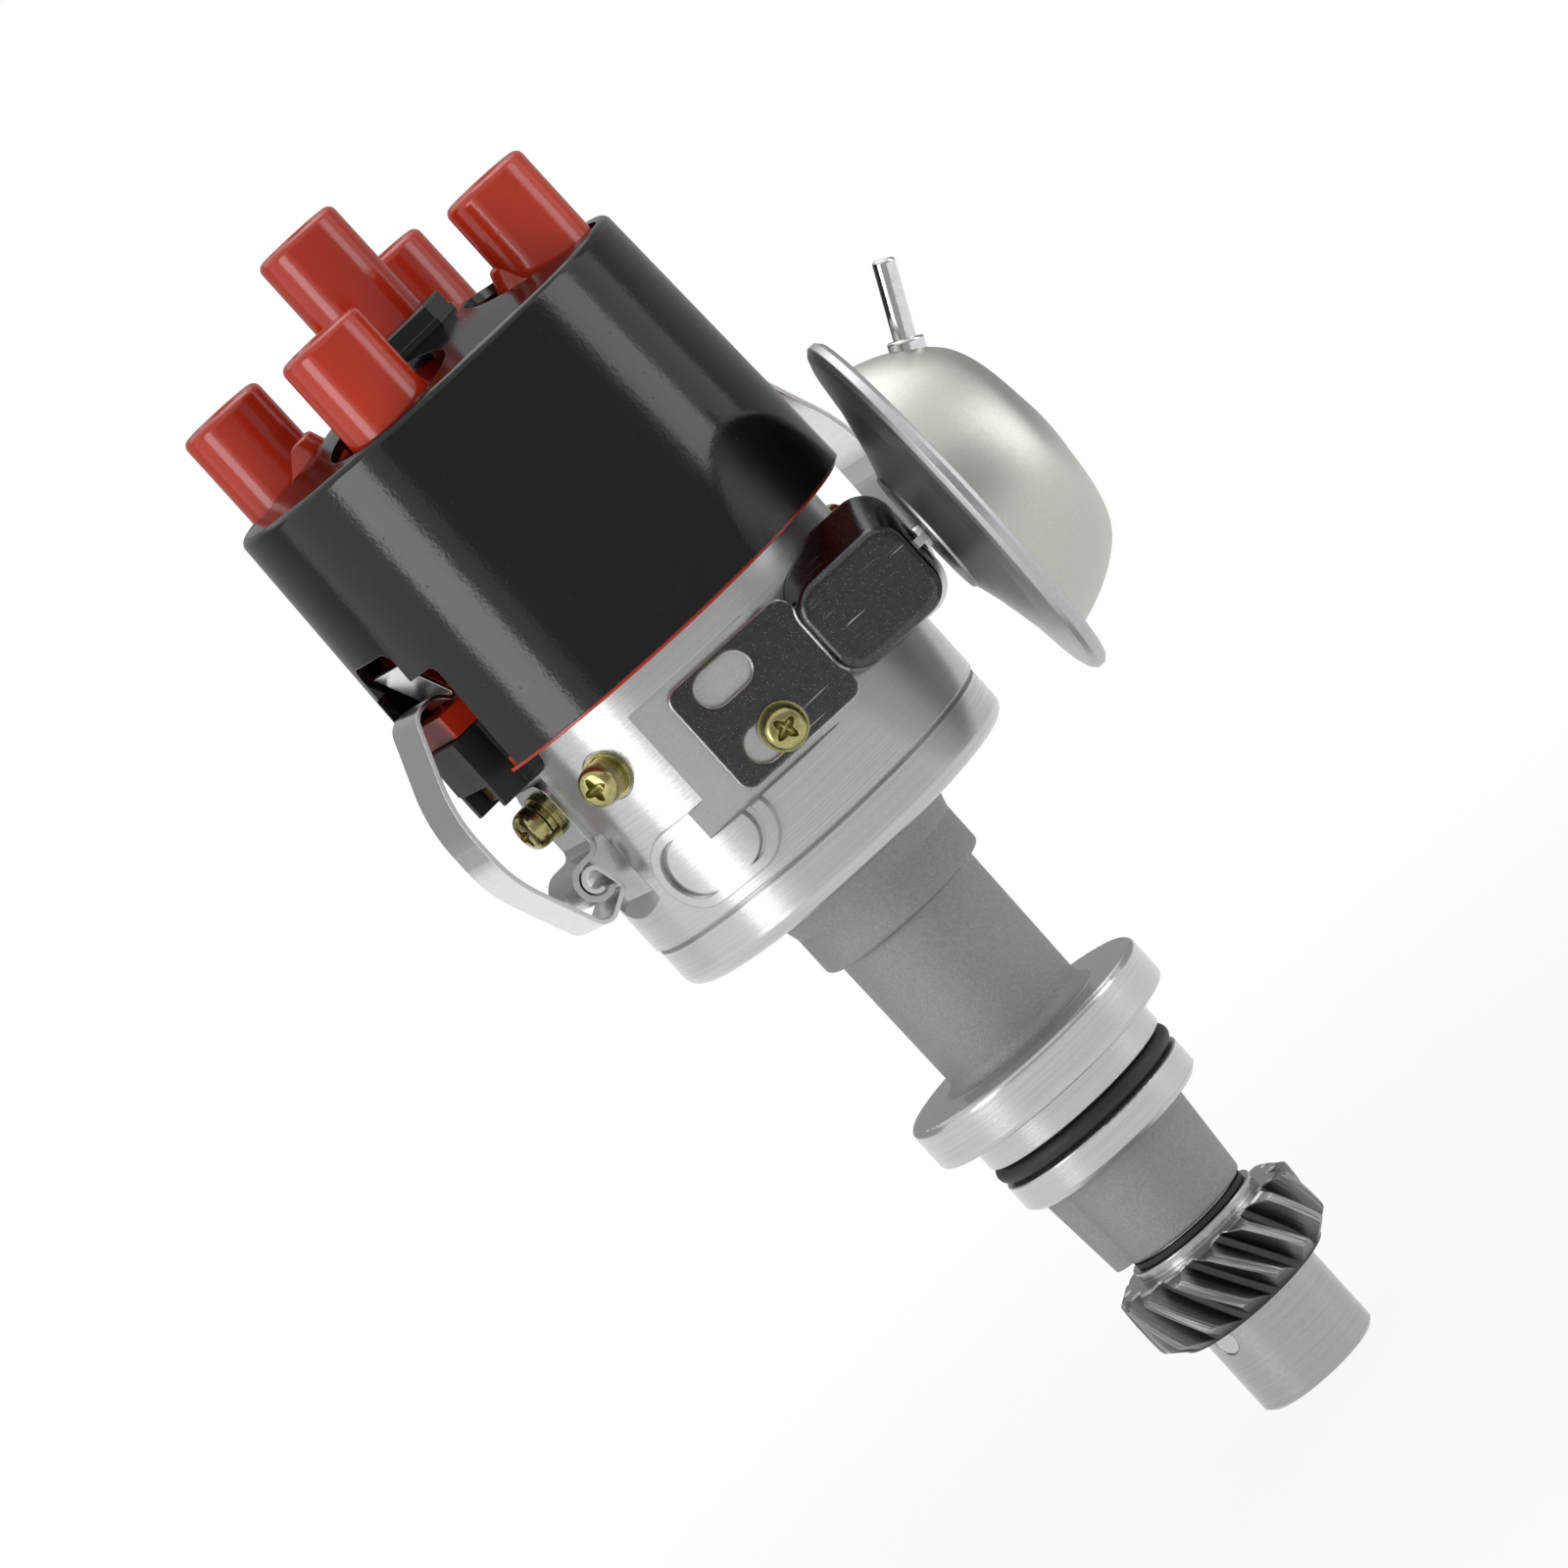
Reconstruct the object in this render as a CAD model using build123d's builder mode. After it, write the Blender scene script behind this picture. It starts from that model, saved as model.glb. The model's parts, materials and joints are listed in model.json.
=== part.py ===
from build123d import *
import os
from math import asin, atan2, cos, degrees, radians, sin, sqrt, tan

# Ignition distributor with a mechanical and a vacuum advance.
# Millimetres. The origin is the centre of the mounting flange's underside, +Z runs up the
# shaft towards the cap. Azimuths are in degrees, 0 at the front (-Y), positive towards +X.

os.makedirs("parts", exist_ok=True)

# Fits between pieces
slip = 0.02             # between two still pieces, on the radius
running = 0.04          # shaft in its bush, on the radius
air = 0.3               # between pieces that move past each other

# Mounting end
flange_radius = 25.0
flange_thickness = 8.4
pilot_radius = 19.0
pilot_length = 15.5
groove_depth_below_flange = 5.5
groove_width = 4.15
groove_radius = 15.9
o_ring_section = 3.3
barrel_length = 33.7    # flange underside to the barrel's end
barrel_top_radius = 13.9
barrel_end_radius = 12.5
lobe_radius = 6.0
lobe_reach = 16.4
lobe_end_margin = 0.6

# Shank and bowl
shank_low_radius = 14.3
shank_top_radius = 14.6
collar_height = 7.9
collar_radius = 17.0
neck_radius = 18.7
neck_height = 6.0
bowl_radius = 35.9
bowl_wall = 4.3
bowl_low_inset = 0.4
bowl_corner = 2.5
bowl_step_rise = 8.3    # bowl's underside to the turned step
bowl_step_depth = 0.35
cover_ledge_depth = 10.5
cover_ledge_width = 1.6
bowl_rim = 106.5
bowl_height = 54.7      # rim to the bowl's underside
bowl_depth = 49.5       # rim to the floor inside

# Oval boss cast on the bowl
boss_azimuth = -28.0
boss_drop = 35.8        # rim to the boss's centre
boss_length = 25.0
boss_width = 15.2
boss_rim = 1.9
boss_pad_length = 18.0
boss_pad_width = 11.4
boss_rise = 1.3

# Land for the vacuum unit
land_inset = 2.3        # bowl's side to the land
land_height = 24.2
land_drop = 9.7         # rim to the land's top

# Spring clips and their hinges, at two places round the bowl
clip_azimuths = {"left": -68.0, "right": 117.0}
strip_width = 12.5
strip_thickness = 0.8
bracket_thickness = 1.1
clip_pad_inset = 0.62
clip_pad_drop = 7.5
bracket_drop = 9.1
hinge_stand = 4.3       # bowl's side to the hinge's centre
hinge_drop = 27.3       # rim to the hinge's centre
hinge_curl_radius = 3.35
strip_curl_radius = 2.0
hinge_recess_inset = 2.0
hinge_recess_below = 8.2
hinge_recess_above = 5.2
bow_radius = 51.1       # shaft axis to the clip's bow
bow_low_bend = 5.13     # length that the bow's lower bend takes from the straight
bow_top_bend = 6.19
ledge_rise = 10.25      # bowl's rim to the clip ledge's top
ledge_thickness = 4.5
ledge_depth = 3.2
ledge_width = 13.5

# Screws
screw_radius = 2.0
screw_head_radius = 3.8
screw_head_height = 3.2
spring_washer_radius = 3.6
spring_washer_thickness = 1.1
flat_washer_radius = 4.3
flat_washer_thickness = 0.9
clip_screw_drop = 14.7
plate_screw_azimuth = -37.0
plate_screw_drop = 15.1

# Drive
shaft_radius = 6.0
spindle_radius = 4.0
spindle_drop = 5.9      # bowl's rim to the spindle's top
bush_radius = 8.5
upper_bush_length = 19.5
lower_bush_length = 20.0
washer_thickness = 1.1
shim_thickness = 0.3
gear_teeth = 15
gear_tip_radius = 18.8
gear_root_radius = 15.2
gear_collar_radius = 13.0
gear_collar_height = 1.9
gear_face = 14.3
gear_helix_angle = 35.0
gear_turn = 5.0        # turn that sets where the first tooth stands
gear_hub_radius = 12.1
hub_length = 17.2
gear_pin_radius = 2.48
gear_pin_azimuth = -52.0
gear_pin_drop = 2.0     # gear's lower face to the pin's axis

# Centrifugal advance
carrier_gap = 4.6       # carrier's edge to the bowl's wall
carrier_thickness = 2.4
carrier_hub_radius = 9.0
pivot_distance = 20.0
pivot_radius = 2.0
weight_thickness = 6.0
weight_inner_radius = 9.6
weight_inset = 2.0      # carrier's edge to the weights
weight_start = -20.0
weight_end = 122.0
weight_swing = 12.0
cam_pin_distance = 12.0
cam_pin_angle = 60.0
cam_pin_radius = 1.5
cam_advance = 12.5
cam_plate_radius = 19.5
cam_plate_thickness = 2.0
cam_post_distance = 13.0
cam_post_angle = 192.0
carrier_post_distance = 22.0
carrier_post_angle = 142.0
post_radius = 1.4
spring_wire = 0.5
spring_coil_radius = 1.9
sleeve_radius = 6.5
sleeve_drop = 4.7       # bowl's rim to the sleeve's top

# Trigger and pickup
base_plate_drop = 28.9  # bowl's rim to the base plate's underside
base_plate_thickness = 1.8
base_tab_thickness = 1.7
base_tab_width = 9.0
base_tab_drop = 11.0
collar_bore = 8.2
collar_outer = 9.45
pickup_plate_thickness = 1.6
pickup_plate_radius = 25.0
pickup_turn = 8.0
coil_inner_radius = 12.5
coil_outer_radius = 18.4
coil_height = 5.2
magnet_outer_radius = 22.0
stator_thickness = 1.4
stator_pole_height = 4.5
trigger_tip_radius = 14.5
trigger_gap = 0.5
trigger_height = 8.0

# Rotor, dust cover and cap
dust_cover_thickness = 1.4
dust_cover_hole = 11.3
rotor_hub_radius = 9.2
rotor_hub_length = 15.6
rotor_rise = 2.1        # bowl's rim to the rotor's top
rotor_gap = 3.1         # rotor's end to the terminals' axes
rotor_azimuth = -16.0
electrode_thickness = 1.0
cap_rim_drop = 4.3      # bowl's rim to the cap's lowest edge
cap_rim_thickness = 0.6
cap_rim_stand = 6.3     # bowl's side to the cap's rim
cap_skirt_stand = 2.3   # bowl's side to the cap's skirt
cap_wall_inset = 0.7
cap_wall = 2.0
cap_ceiling_rise = 21.5 # bowl's rim to the cap's ceiling
cap_deck_thickness = 6.0
tower_azimuths = [-16.0, 74.0, 164.0, -106.0]
tower_inset = 4.7       # cap's wall to the towers' axes
tower_radius = 8.5
tower_top_radius = 8.25
tower_height = 43.4     # cap's deck to the towers' ends
centre_tower_height = 57.2
socket_radius = 4.6
socket_depth = 27.4
centre_socket_depth = 33.2
terminal_radius = 2.5
terminal_head_height = 2.0
terminal_seat_radius = 4.1
terminal_seat_depth = 2.4
brush_radius = 2.4
brush_length = 11.0
brush_travel = 1.5
brush_holder_length = 13.0

# Cover over the cap
cover_overhang = 0.9    # cover's edge past the cap's rim
cover_draft = 1.8       # by how much the cover narrows upwards
cover_shoulder_rise = 25.2
cover_crown_rise = 4.8
cover_crown_radius = 12.0
cover_wall = 1.7
cover_hole_radius = 13.0
cover_hole_inset = 3.5  # towers' axes to the holes' centres
lock_ring_apothem = 10.8
lock_ring_height = 4.4

# Pickup connector
connector_rise = 5.5
connector_height = 13.5
connector_stand = 7.2
connector_half_width = 7.0
connector_flange_stand = 2.1
connector_flange_half_angle = 16.2

# Vacuum unit, along an axis that passes in front of the shaft
can_azimuth = 92.0      # direction in which the can points
can_inset = 3.6         # bowl's wall to the can's axis
can_drop = 21.15        # bowl's rim to the can's axis
plate_thickness = 1.5
plate_left = -6.4
plate_crease = 11.7
plate_margin_low = 1.4  # land's lower edge to the plate's
plate_margin_top = 1.5
slot_length = 10.7
slot_width = 6.4
slot_centre = 3.2
upper_slot_drop = 4.3   # plate's top to the upper slot's centre
lower_slot_rise = 4.6   # plate's lower edge to the lower slot's centre
vacuum_screw_x = 5.4
arm_stand = 7.2         # bowl's side to the arm's end
arm_width = 26.1
arm_front_stand = 2.7   # bowl's side to the arm's front face
pocket_wall = 1.3
can_neck_radius = 12.0
can_wall = 1.2
rim_radius = 35.8
shell_depth = 5.4       # neck to the rim
rim_width = 2.9
rim_lip = 0.6           # rolled over the dome's flange
dome_flange_inset = 1.4
dome_flange_thickness = 0.9
diaphragm_thickness = 0.6
diaphragm_plate_radius = 14.0
diaphragm_plate_thickness = 1.0
rod_width = 5.0
rod_thickness = 1.6
rod_eye_radius = 2.9
rod_pin_radius = 1.25
nipple_radius = 2.0
nipple_bore_radius = 1.1
nipple_length = 15.5
nipple_end_rounding = 0.7
nipple_lean = 26.5
nipple_place = 10.6     # dome's flange to the nipple's foot, along the can's axis
nipple_foot_radius = 24.6
nipple_collar_radius = 3.2
nipple_collar_height = 1.8

# Values that follow from the ones above: the bowl hangs down from its rim, the cap stands on it
bowl_bottom = bowl_rim - bowl_height
bowl_floor = bowl_rim - bowl_depth
bowl_step = bowl_bottom + bowl_step_rise
bowl_low_radius = bowl_radius - bowl_low_inset
bowl_inner_radius = bowl_radius - bowl_wall
collar_top = bowl_bottom - neck_height
shank_top = collar_top - collar_height
cover_ledge = bowl_rim - cover_ledge_depth
cover_seat_radius = bowl_inner_radius + cover_ledge_width
boss_height = bowl_rim - boss_drop
land_depth = bowl_radius - land_inset
land_top = bowl_rim - land_drop
land_low = land_top - land_height
clip_pad_radius = bowl_radius - clip_pad_inset
clip_pad_top = bowl_rim - clip_pad_drop
bracket_top = bowl_rim - bracket_drop
hinge_radius = bowl_radius + hinge_stand
hinge_height = bowl_rim - hinge_drop
hinge_recess_radius = bowl_radius - hinge_recess_inset
hinge_recess_low = hinge_height - hinge_recess_below
hinge_recess_top = hinge_height + hinge_recess_above
ledge_top = bowl_rim + ledge_rise
clip_screw_height = bowl_rim - clip_screw_drop
plate_screw_height = bowl_rim - plate_screw_drop
spindle_top = bowl_rim - spindle_drop
sleeve_top = bowl_rim - sleeve_drop
upper_bush_low = bowl_floor - 0.5 - upper_bush_length
lower_bush_top = -barrel_length + lower_bush_length
carrier_radius = bowl_inner_radius - carrier_gap
weight_outer_radius = carrier_radius - weight_inset
base_plate_low = bowl_rim - base_plate_drop
base_tab_top = bowl_rim - base_tab_drop
rotor_top = bowl_rim + rotor_rise
rotor_hub_low = rotor_top - rotor_hub_length
cap_rim_low = bowl_rim - cap_rim_drop
cap_rim_radius = bowl_radius + cap_rim_stand
cap_skirt_radius = bowl_radius + cap_skirt_stand
cap_wall_radius = bowl_radius - cap_wall_inset
cap_inner_radius = cap_wall_radius - cap_wall
cap_ceiling = bowl_rim + cap_ceiling_rise
cap_deck_top = cap_ceiling + cap_deck_thickness
ledge_reach = cap_skirt_radius + ledge_depth
tower_pitch_radius = cap_wall_radius - tower_inset
tower_top = cap_deck_top + tower_height
centre_tower_top = cap_deck_top + centre_tower_height
socket_floor = tower_top - socket_depth
centre_socket_floor = centre_tower_top - centre_socket_depth
brush_holder_low = cap_ceiling - brush_holder_length
rotor_reach = tower_pitch_radius - rotor_gap
cover_low = cap_rim_low + cap_rim_thickness + 0.05
cover_low_radius = cap_rim_radius + cover_overhang
cover_top_radius = cover_low_radius - cover_draft
cover_shoulder = cap_deck_top + cover_shoulder_rise
cover_crown = cover_shoulder + cover_crown_rise
cover_hole_pitch = tower_pitch_radius - cover_hole_inset
connector_top = bowl_rim + connector_rise
connector_low = connector_top - connector_height
connector_reach = bowl_radius + connector_stand
connector_flange_radius = bowl_radius + connector_flange_stand
can_offset = bowl_inner_radius - can_inset
can_height = bowl_rim - can_drop
plate_low = land_low + plate_margin_low
plate_top = land_top - plate_margin_top
upper_slot_height = plate_top - upper_slot_drop
lower_slot_height = plate_low + lower_slot_rise
pocket_right = bowl_radius + arm_stand
pocket_left = pocket_right - arm_width
pocket_front = bowl_radius + arm_front_stand
rim_start = pocket_right + 0.3 + shell_depth
rim_end = rim_start + rim_width
flange_seat = rim_end - rim_lip     # outer face of the dome's flange, along the can's axis
dome_flange_radius = rim_radius - dome_flange_inset
housing_spacer = shim_thickness + washer_thickness
gear_top = -(barrel_length + 0.1 + housing_spacer + 0.1)
teeth_top = gear_top - gear_collar_height
teeth_low = teeth_top - gear_face
hub_low = teeth_low - hub_length
gear_pin_height = teeth_low - gear_pin_drop
carrier_low = bowl_floor + 1.6
carrier_top = carrier_low + carrier_thickness
spindle_base = carrier_top + 0.5
weight_low = carrier_top + air
weight_top = weight_low + weight_thickness
cam_plate_low = weight_top + 0.6
cam_plate_top = cam_plate_low + cam_plate_thickness
spring_height = cam_plate_top + 2.4
post_top = spring_height + 2.3
base_plate_top = base_plate_low + base_plate_thickness
pickup_plate_low = base_plate_top + air
pickup_plate_top = pickup_plate_low + pickup_plate_thickness
coil_top = pickup_plate_top + 0.05 + coil_height
stator_top = coil_top + 0.05 + stator_thickness
pole_top = stator_top + stator_pole_height
stator_inner_radius = trigger_tip_radius + trigger_gap
ledge_low = ledge_top - ledge_thickness
cap_seat = bowl_rim
rod_pin_azimuth = can_azimuth - 90.0 - pickup_turn / 2


def around(azimuth, radius, side=0.0):
    """Plan position at an azimuth, with an offset along the direction of growing azimuth."""
    angle = radians(azimuth)
    return (radius * sin(angle) + side * cos(angle), -radius * cos(angle) + side * sin(angle))


def polar(angle, radius):
    """Plan position at an angle counted from +X."""
    return (radius * cos(radians(angle)), radius * sin(radians(angle)))


def side_plane(azimuth):
    """Upright plane through the shaft axis: x runs outward at the azimuth, y runs up."""
    out = around(azimuth, 1.0)
    along = around(azimuth, 0.0, 1.0)
    return Plane(origin=(0, 0, 0), x_dir=(*out, 0), z_dir=(-along[0], -along[1], 0))


def face_plane(azimuth, radius, height):
    """Upright plane that faces outward at the azimuth: x runs round the part, y runs up."""
    out = around(azimuth, 1.0)
    along = around(azimuth, 0.0, 1.0)
    place = around(azimuth, radius)
    return Plane(origin=(*place, height), x_dir=(*along, 0), z_dir=(*out, 0))


def turned_on(seat, points, radii=None):
    """Solid turned about a plane's normal from a closed outline of (radius, distance) points."""
    normal = seat.z_dir
    with BuildPart(mode=Mode.PRIVATE) as piece:
        with BuildSketch(Plane(origin=seat.origin, x_dir=seat.x_dir, z_dir=seat.y_dir * -1)):
            with BuildLine():
                if radii is None:
                    Polyline(*points, close=True)
                else:
                    FilletPolyline(*points, radius=radii, close=True)
            make_face()
        revolve(axis=Axis(seat.origin, normal))
    return piece.part


def turned(points, radii=None, place=(0.0, 0.0)):
    """Solid turned about an upright axis."""
    return turned_on(Plane(origin=(*place, 0)), points, radii)


def ring(inner_radius, outer_radius, low, top):
    """Plain ring about the shaft axis."""
    return turned([(inner_radius, low), (outer_radius, low), (outer_radius, top), (inner_radius, top)])


def block(azimuth, near, far, half_width, low, top):
    """Straight block between two distances from the shaft axis, square to the azimuth."""
    with BuildPart(mode=Mode.PRIVATE) as piece:
        with BuildSketch(face_plane(azimuth, near, (low + top) / 2)):
            Rectangle(2 * half_width, top - low)
        extrude(amount=far - near)
    return piece.part


def radial_rod(azimuth, height, radius, near, far):
    """Round bar along the azimuth, between two distances from the shaft axis."""
    with BuildPart(mode=Mode.PRIVATE) as piece:
        with BuildSketch(face_plane(azimuth, near, height)):
            Circle(radius)
        extrude(amount=far - near)
    return piece.part


def sector(inner_radius, outer_radius, azimuth, half_angle, low, top):
    """Part of a ring, centred on an azimuth."""
    edge = 1.5 * outer_radius
    with BuildPart(mode=Mode.PRIVATE) as piece:
        with BuildSketch(Plane.XY.offset(low)):
            Circle(outer_radius)
            Circle(inner_radius, mode=Mode.SUBTRACT)
            with BuildLine():
                Polyline(
                    (0, 0),
                    around(azimuth - half_angle, edge),
                    around(azimuth + half_angle, edge),
                    close=True,
                )
            make_face(mode=Mode.INTERSECT)
        extrude(amount=top - low)
    return piece.part


def finish(piece, label):
    """Name a piece and write it."""
    piece.part.label = label
    export_step(piece.part, f"parts/{label}.step")


# Directions of the vacuum unit's axis
can_direction = around(can_azimuth, 1.0)
can_foot = around(can_azimuth - 90.0, can_offset)
can_plane = Plane(
    origin=(*can_foot, can_height),
    x_dir=(*can_direction, 0),
    z_dir=(can_direction[1], -can_direction[0], 0),
)


def can_section(distance):
    """Plane square to the can's axis, a distance along it, with y up."""
    origin = can_plane.from_local_coords(Vector(distance, 0, 0))
    return Plane(origin=origin, x_dir=(-can_direction[1], can_direction[0], 0), z_dir=(*can_direction, 0))


def can_turned(points, radii=None):
    """Solid turned about the can's axis from a closed outline of (distance, radius) points."""
    return turned_on(can_section(0), [(radius, distance) for distance, radius in points], radii)


# Housing: one casting, turned outside and inside, with its bosses, pads and openings
with BuildPart() as housing_casting:
    groove_top = -groove_depth_below_flange
    groove_low = groove_top - groove_width
    add(
        turned(
            [
                (bush_radius, -barrel_length),
                (barrel_end_radius, -barrel_length),
                (barrel_top_radius, -pilot_length),
                (pilot_radius - 0.9, -pilot_length),
                (pilot_radius, -pilot_length + 0.9),
                (pilot_radius, groove_low),
                (groove_radius, groove_low),
                (groove_radius, groove_top),
                (pilot_radius, groove_top),
                (pilot_radius, 0),
                (flange_radius, 0),
                (flange_radius, flange_thickness),
                (shank_low_radius, flange_thickness),
                (shank_top_radius, shank_top),
                (collar_radius, shank_top),
                (collar_radius, collar_top),
                (neck_radius, bowl_bottom),
                (bowl_low_radius, bowl_bottom),
                (bowl_low_radius, bowl_step),
                (bowl_low_radius - bowl_step_depth, bowl_step + 0.35),
                (bowl_radius, bowl_step + 1.0),
                (bowl_radius, bowl_rim),
                (cover_seat_radius, bowl_rim),
                (cover_seat_radius, cover_ledge),
                (bowl_inner_radius, cover_ledge),
                (bowl_inner_radius, bowl_floor),
                (bush_radius, bowl_floor),
            ],
            [0, 0.8, 2.0, 0, 0, 0.3, 0.3, 0.3, 0.3, 0, 1.0, 1.2, 2.5, 1.0, 1.0, 1.5, 1.5,
             bowl_corner, 0, 0, 0, 0.4, 0.3, 0, 0, 2.0, 0],
        )
    )
    with BuildSketch(Plane.XY.offset(-pilot_length)):
        with Locations((-(lobe_reach - lobe_radius), 0)):
            Circle(lobe_radius)
    extrude(amount=-(barrel_length - pilot_length - lobe_end_margin), taper=4.5)
    add(ring(0, bush_radius, -barrel_length - 1, bowl_floor + 1), mode=Mode.SUBTRACT)
    with BuildSketch(face_plane(boss_azimuth, bowl_inner_radius + 1.5, boss_height)):
        SlotOverall(boss_length, boss_width)
    boss_part = extrude(amount=bowl_radius + boss_rise - bowl_inner_radius, mode=Mode.PRIVATE)
    rim_shell = ring(bowl_inner_radius, bowl_radius + boss_rise, bowl_bottom, bowl_rim)
    add(boss_part & rim_shell)
    with BuildSketch(face_plane(boss_azimuth, bowl_inner_radius + 1.5, boss_height)):
        SlotOverall(boss_length - 2 * boss_rim, boss_width - 2 * boss_rim)
        SlotOverall(boss_pad_length, boss_pad_width, mode=Mode.SUBTRACT)
    groove_part = extrude(amount=bowl_radius + 2 * boss_rise - bowl_inner_radius, mode=Mode.PRIVATE)
    groove_shell = ring(bowl_radius + 0.1, bowl_radius + 3 * boss_rise, bowl_bottom, bowl_rim)
    add(groove_part & groove_shell, mode=Mode.SUBTRACT)
    for azimuth in clip_azimuths.values():
        reach = 2 * bowl_radius - clip_pad_radius
        add(
            block(azimuth, clip_pad_radius, reach, strip_width / 2 + 1.2, hinge_recess_top, clip_pad_top),
            mode=Mode.SUBTRACT,
        )
        with BuildSketch(side_plane(azimuth)):
            with BuildLine():
                Polyline(
                    (hinge_recess_radius, hinge_recess_top),
                    (hinge_recess_radius, hinge_recess_low),
                    (bowl_radius + 1, hinge_recess_low - 4.5),
                    (bowl_radius + 3, hinge_recess_top),
                    close=True,
                )
            make_face()
        extrude(amount=strip_width / 2 + 2.5, both=True, mode=Mode.SUBTRACT)
        add(
            radial_rod(azimuth, clip_screw_height, screw_radius + slip, bowl_inner_radius - 1, bowl_radius + 1),
            mode=Mode.SUBTRACT,
        )
    add(
        radial_rod(plate_screw_azimuth, plate_screw_height, screw_radius + slip, bowl_inner_radius - 1,
                   bowl_radius + 1),
        mode=Mode.SUBTRACT,
    )
    add(
        radial_rod(plate_screw_azimuth, plate_screw_height, flat_washer_radius + 0.3, bowl_radius - 0.28,
                   bowl_radius + 1),
        mode=Mode.SUBTRACT,
    )
    with BuildSketch(Plane.XZ.offset(land_depth)):
        with Locations((0, (land_low + land_top) / 2)):
            Rectangle(2 * bowl_radius, land_top - land_low)
    extrude(amount=bowl_radius, mode=Mode.SUBTRACT)
    with BuildSketch(Plane.XZ.offset(bowl_inner_radius - 2)):
        with Locations((vacuum_screw_x, lower_slot_height)):
            Circle(screw_radius + slip)
    extrude(amount=land_depth, mode=Mode.SUBTRACT)
    with BuildSketch(can_section(bowl_inner_radius / 4)):
        Rectangle(rod_width + 2.4, rod_thickness + 3.0)
    extrude(amount=bowl_radius, mode=Mode.SUBTRACT)
    connector_azimuth = clip_azimuths["left"]
    add(
        block(connector_azimuth, bowl_inner_radius - 2, bowl_radius + 2, connector_half_width + 0.1,
              connector_low - 0.1, bowl_rim + 2),
        mode=Mode.SUBTRACT,
    )
finish(housing_casting, "housing_casting")

with BuildPart() as upper_bush:
    add(ring(shaft_radius + running, bush_radius - slip, upper_bush_low, bowl_floor - 0.5))
finish(upper_bush, "upper_bush")

with BuildPart() as lower_bush:
    add(ring(shaft_radius + running, bush_radius - slip, -barrel_length, lower_bush_top))
finish(lower_bush, "lower_bush")

with BuildPart() as o_ring:
    with BuildSketch(Plane.XZ):
        with Locations((groove_radius + slip + o_ring_section / 2, (groove_top + groove_low) / 2)):
            Circle(o_ring_section / 2)
    revolve(axis=Axis.Z)
finish(o_ring, "o_ring")

# Drive shaft with its thin spindle, the gear on its lower end and the pin through both
with BuildPart() as drive_shaft:
    add(
        turned(
            [
                (0, hub_low + 0.8),
                (shaft_radius - 1, hub_low + 0.8),
                (shaft_radius, hub_low + 1.8),
                (shaft_radius, spindle_base),
                (spindle_radius, spindle_base),
                (spindle_radius, spindle_top - 1.2),
                (spindle_radius - 0.6, spindle_top - 1.2),
                (spindle_radius - 0.6, spindle_top - 0.4),
                (spindle_radius, spindle_top - 0.4),
                (spindle_radius, spindle_top),
                (0, spindle_top),
            ]
        )
    )
    add(
        radial_rod(gear_pin_azimuth, gear_pin_height, gear_pin_radius + slip, -gear_hub_radius, gear_hub_radius),
        mode=Mode.SUBTRACT,
    )
finish(drive_shaft, "drive_shaft")

with BuildPart() as thrust_shim:
    add(ring(shaft_radius + 0.1, barrel_end_radius - 1.5, -barrel_length - 0.1 - shim_thickness, -barrel_length - 0.1))
finish(thrust_shim, "thrust_shim")

with BuildPart() as fibre_washer:
    washer_low = -barrel_length - 0.1 - housing_spacer
    add(ring(shaft_radius + 0.1, barrel_end_radius - 0.6, washer_low, washer_low + washer_thickness - 0.05))
finish(fibre_washer, "fibre_washer")

with BuildPart() as upper_shim:
    add(ring(shaft_radius + 0.1, carrier_hub_radius, bowl_floor + 0.1, carrier_low - 0.1))
finish(upper_shim, "upper_shim")

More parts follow.
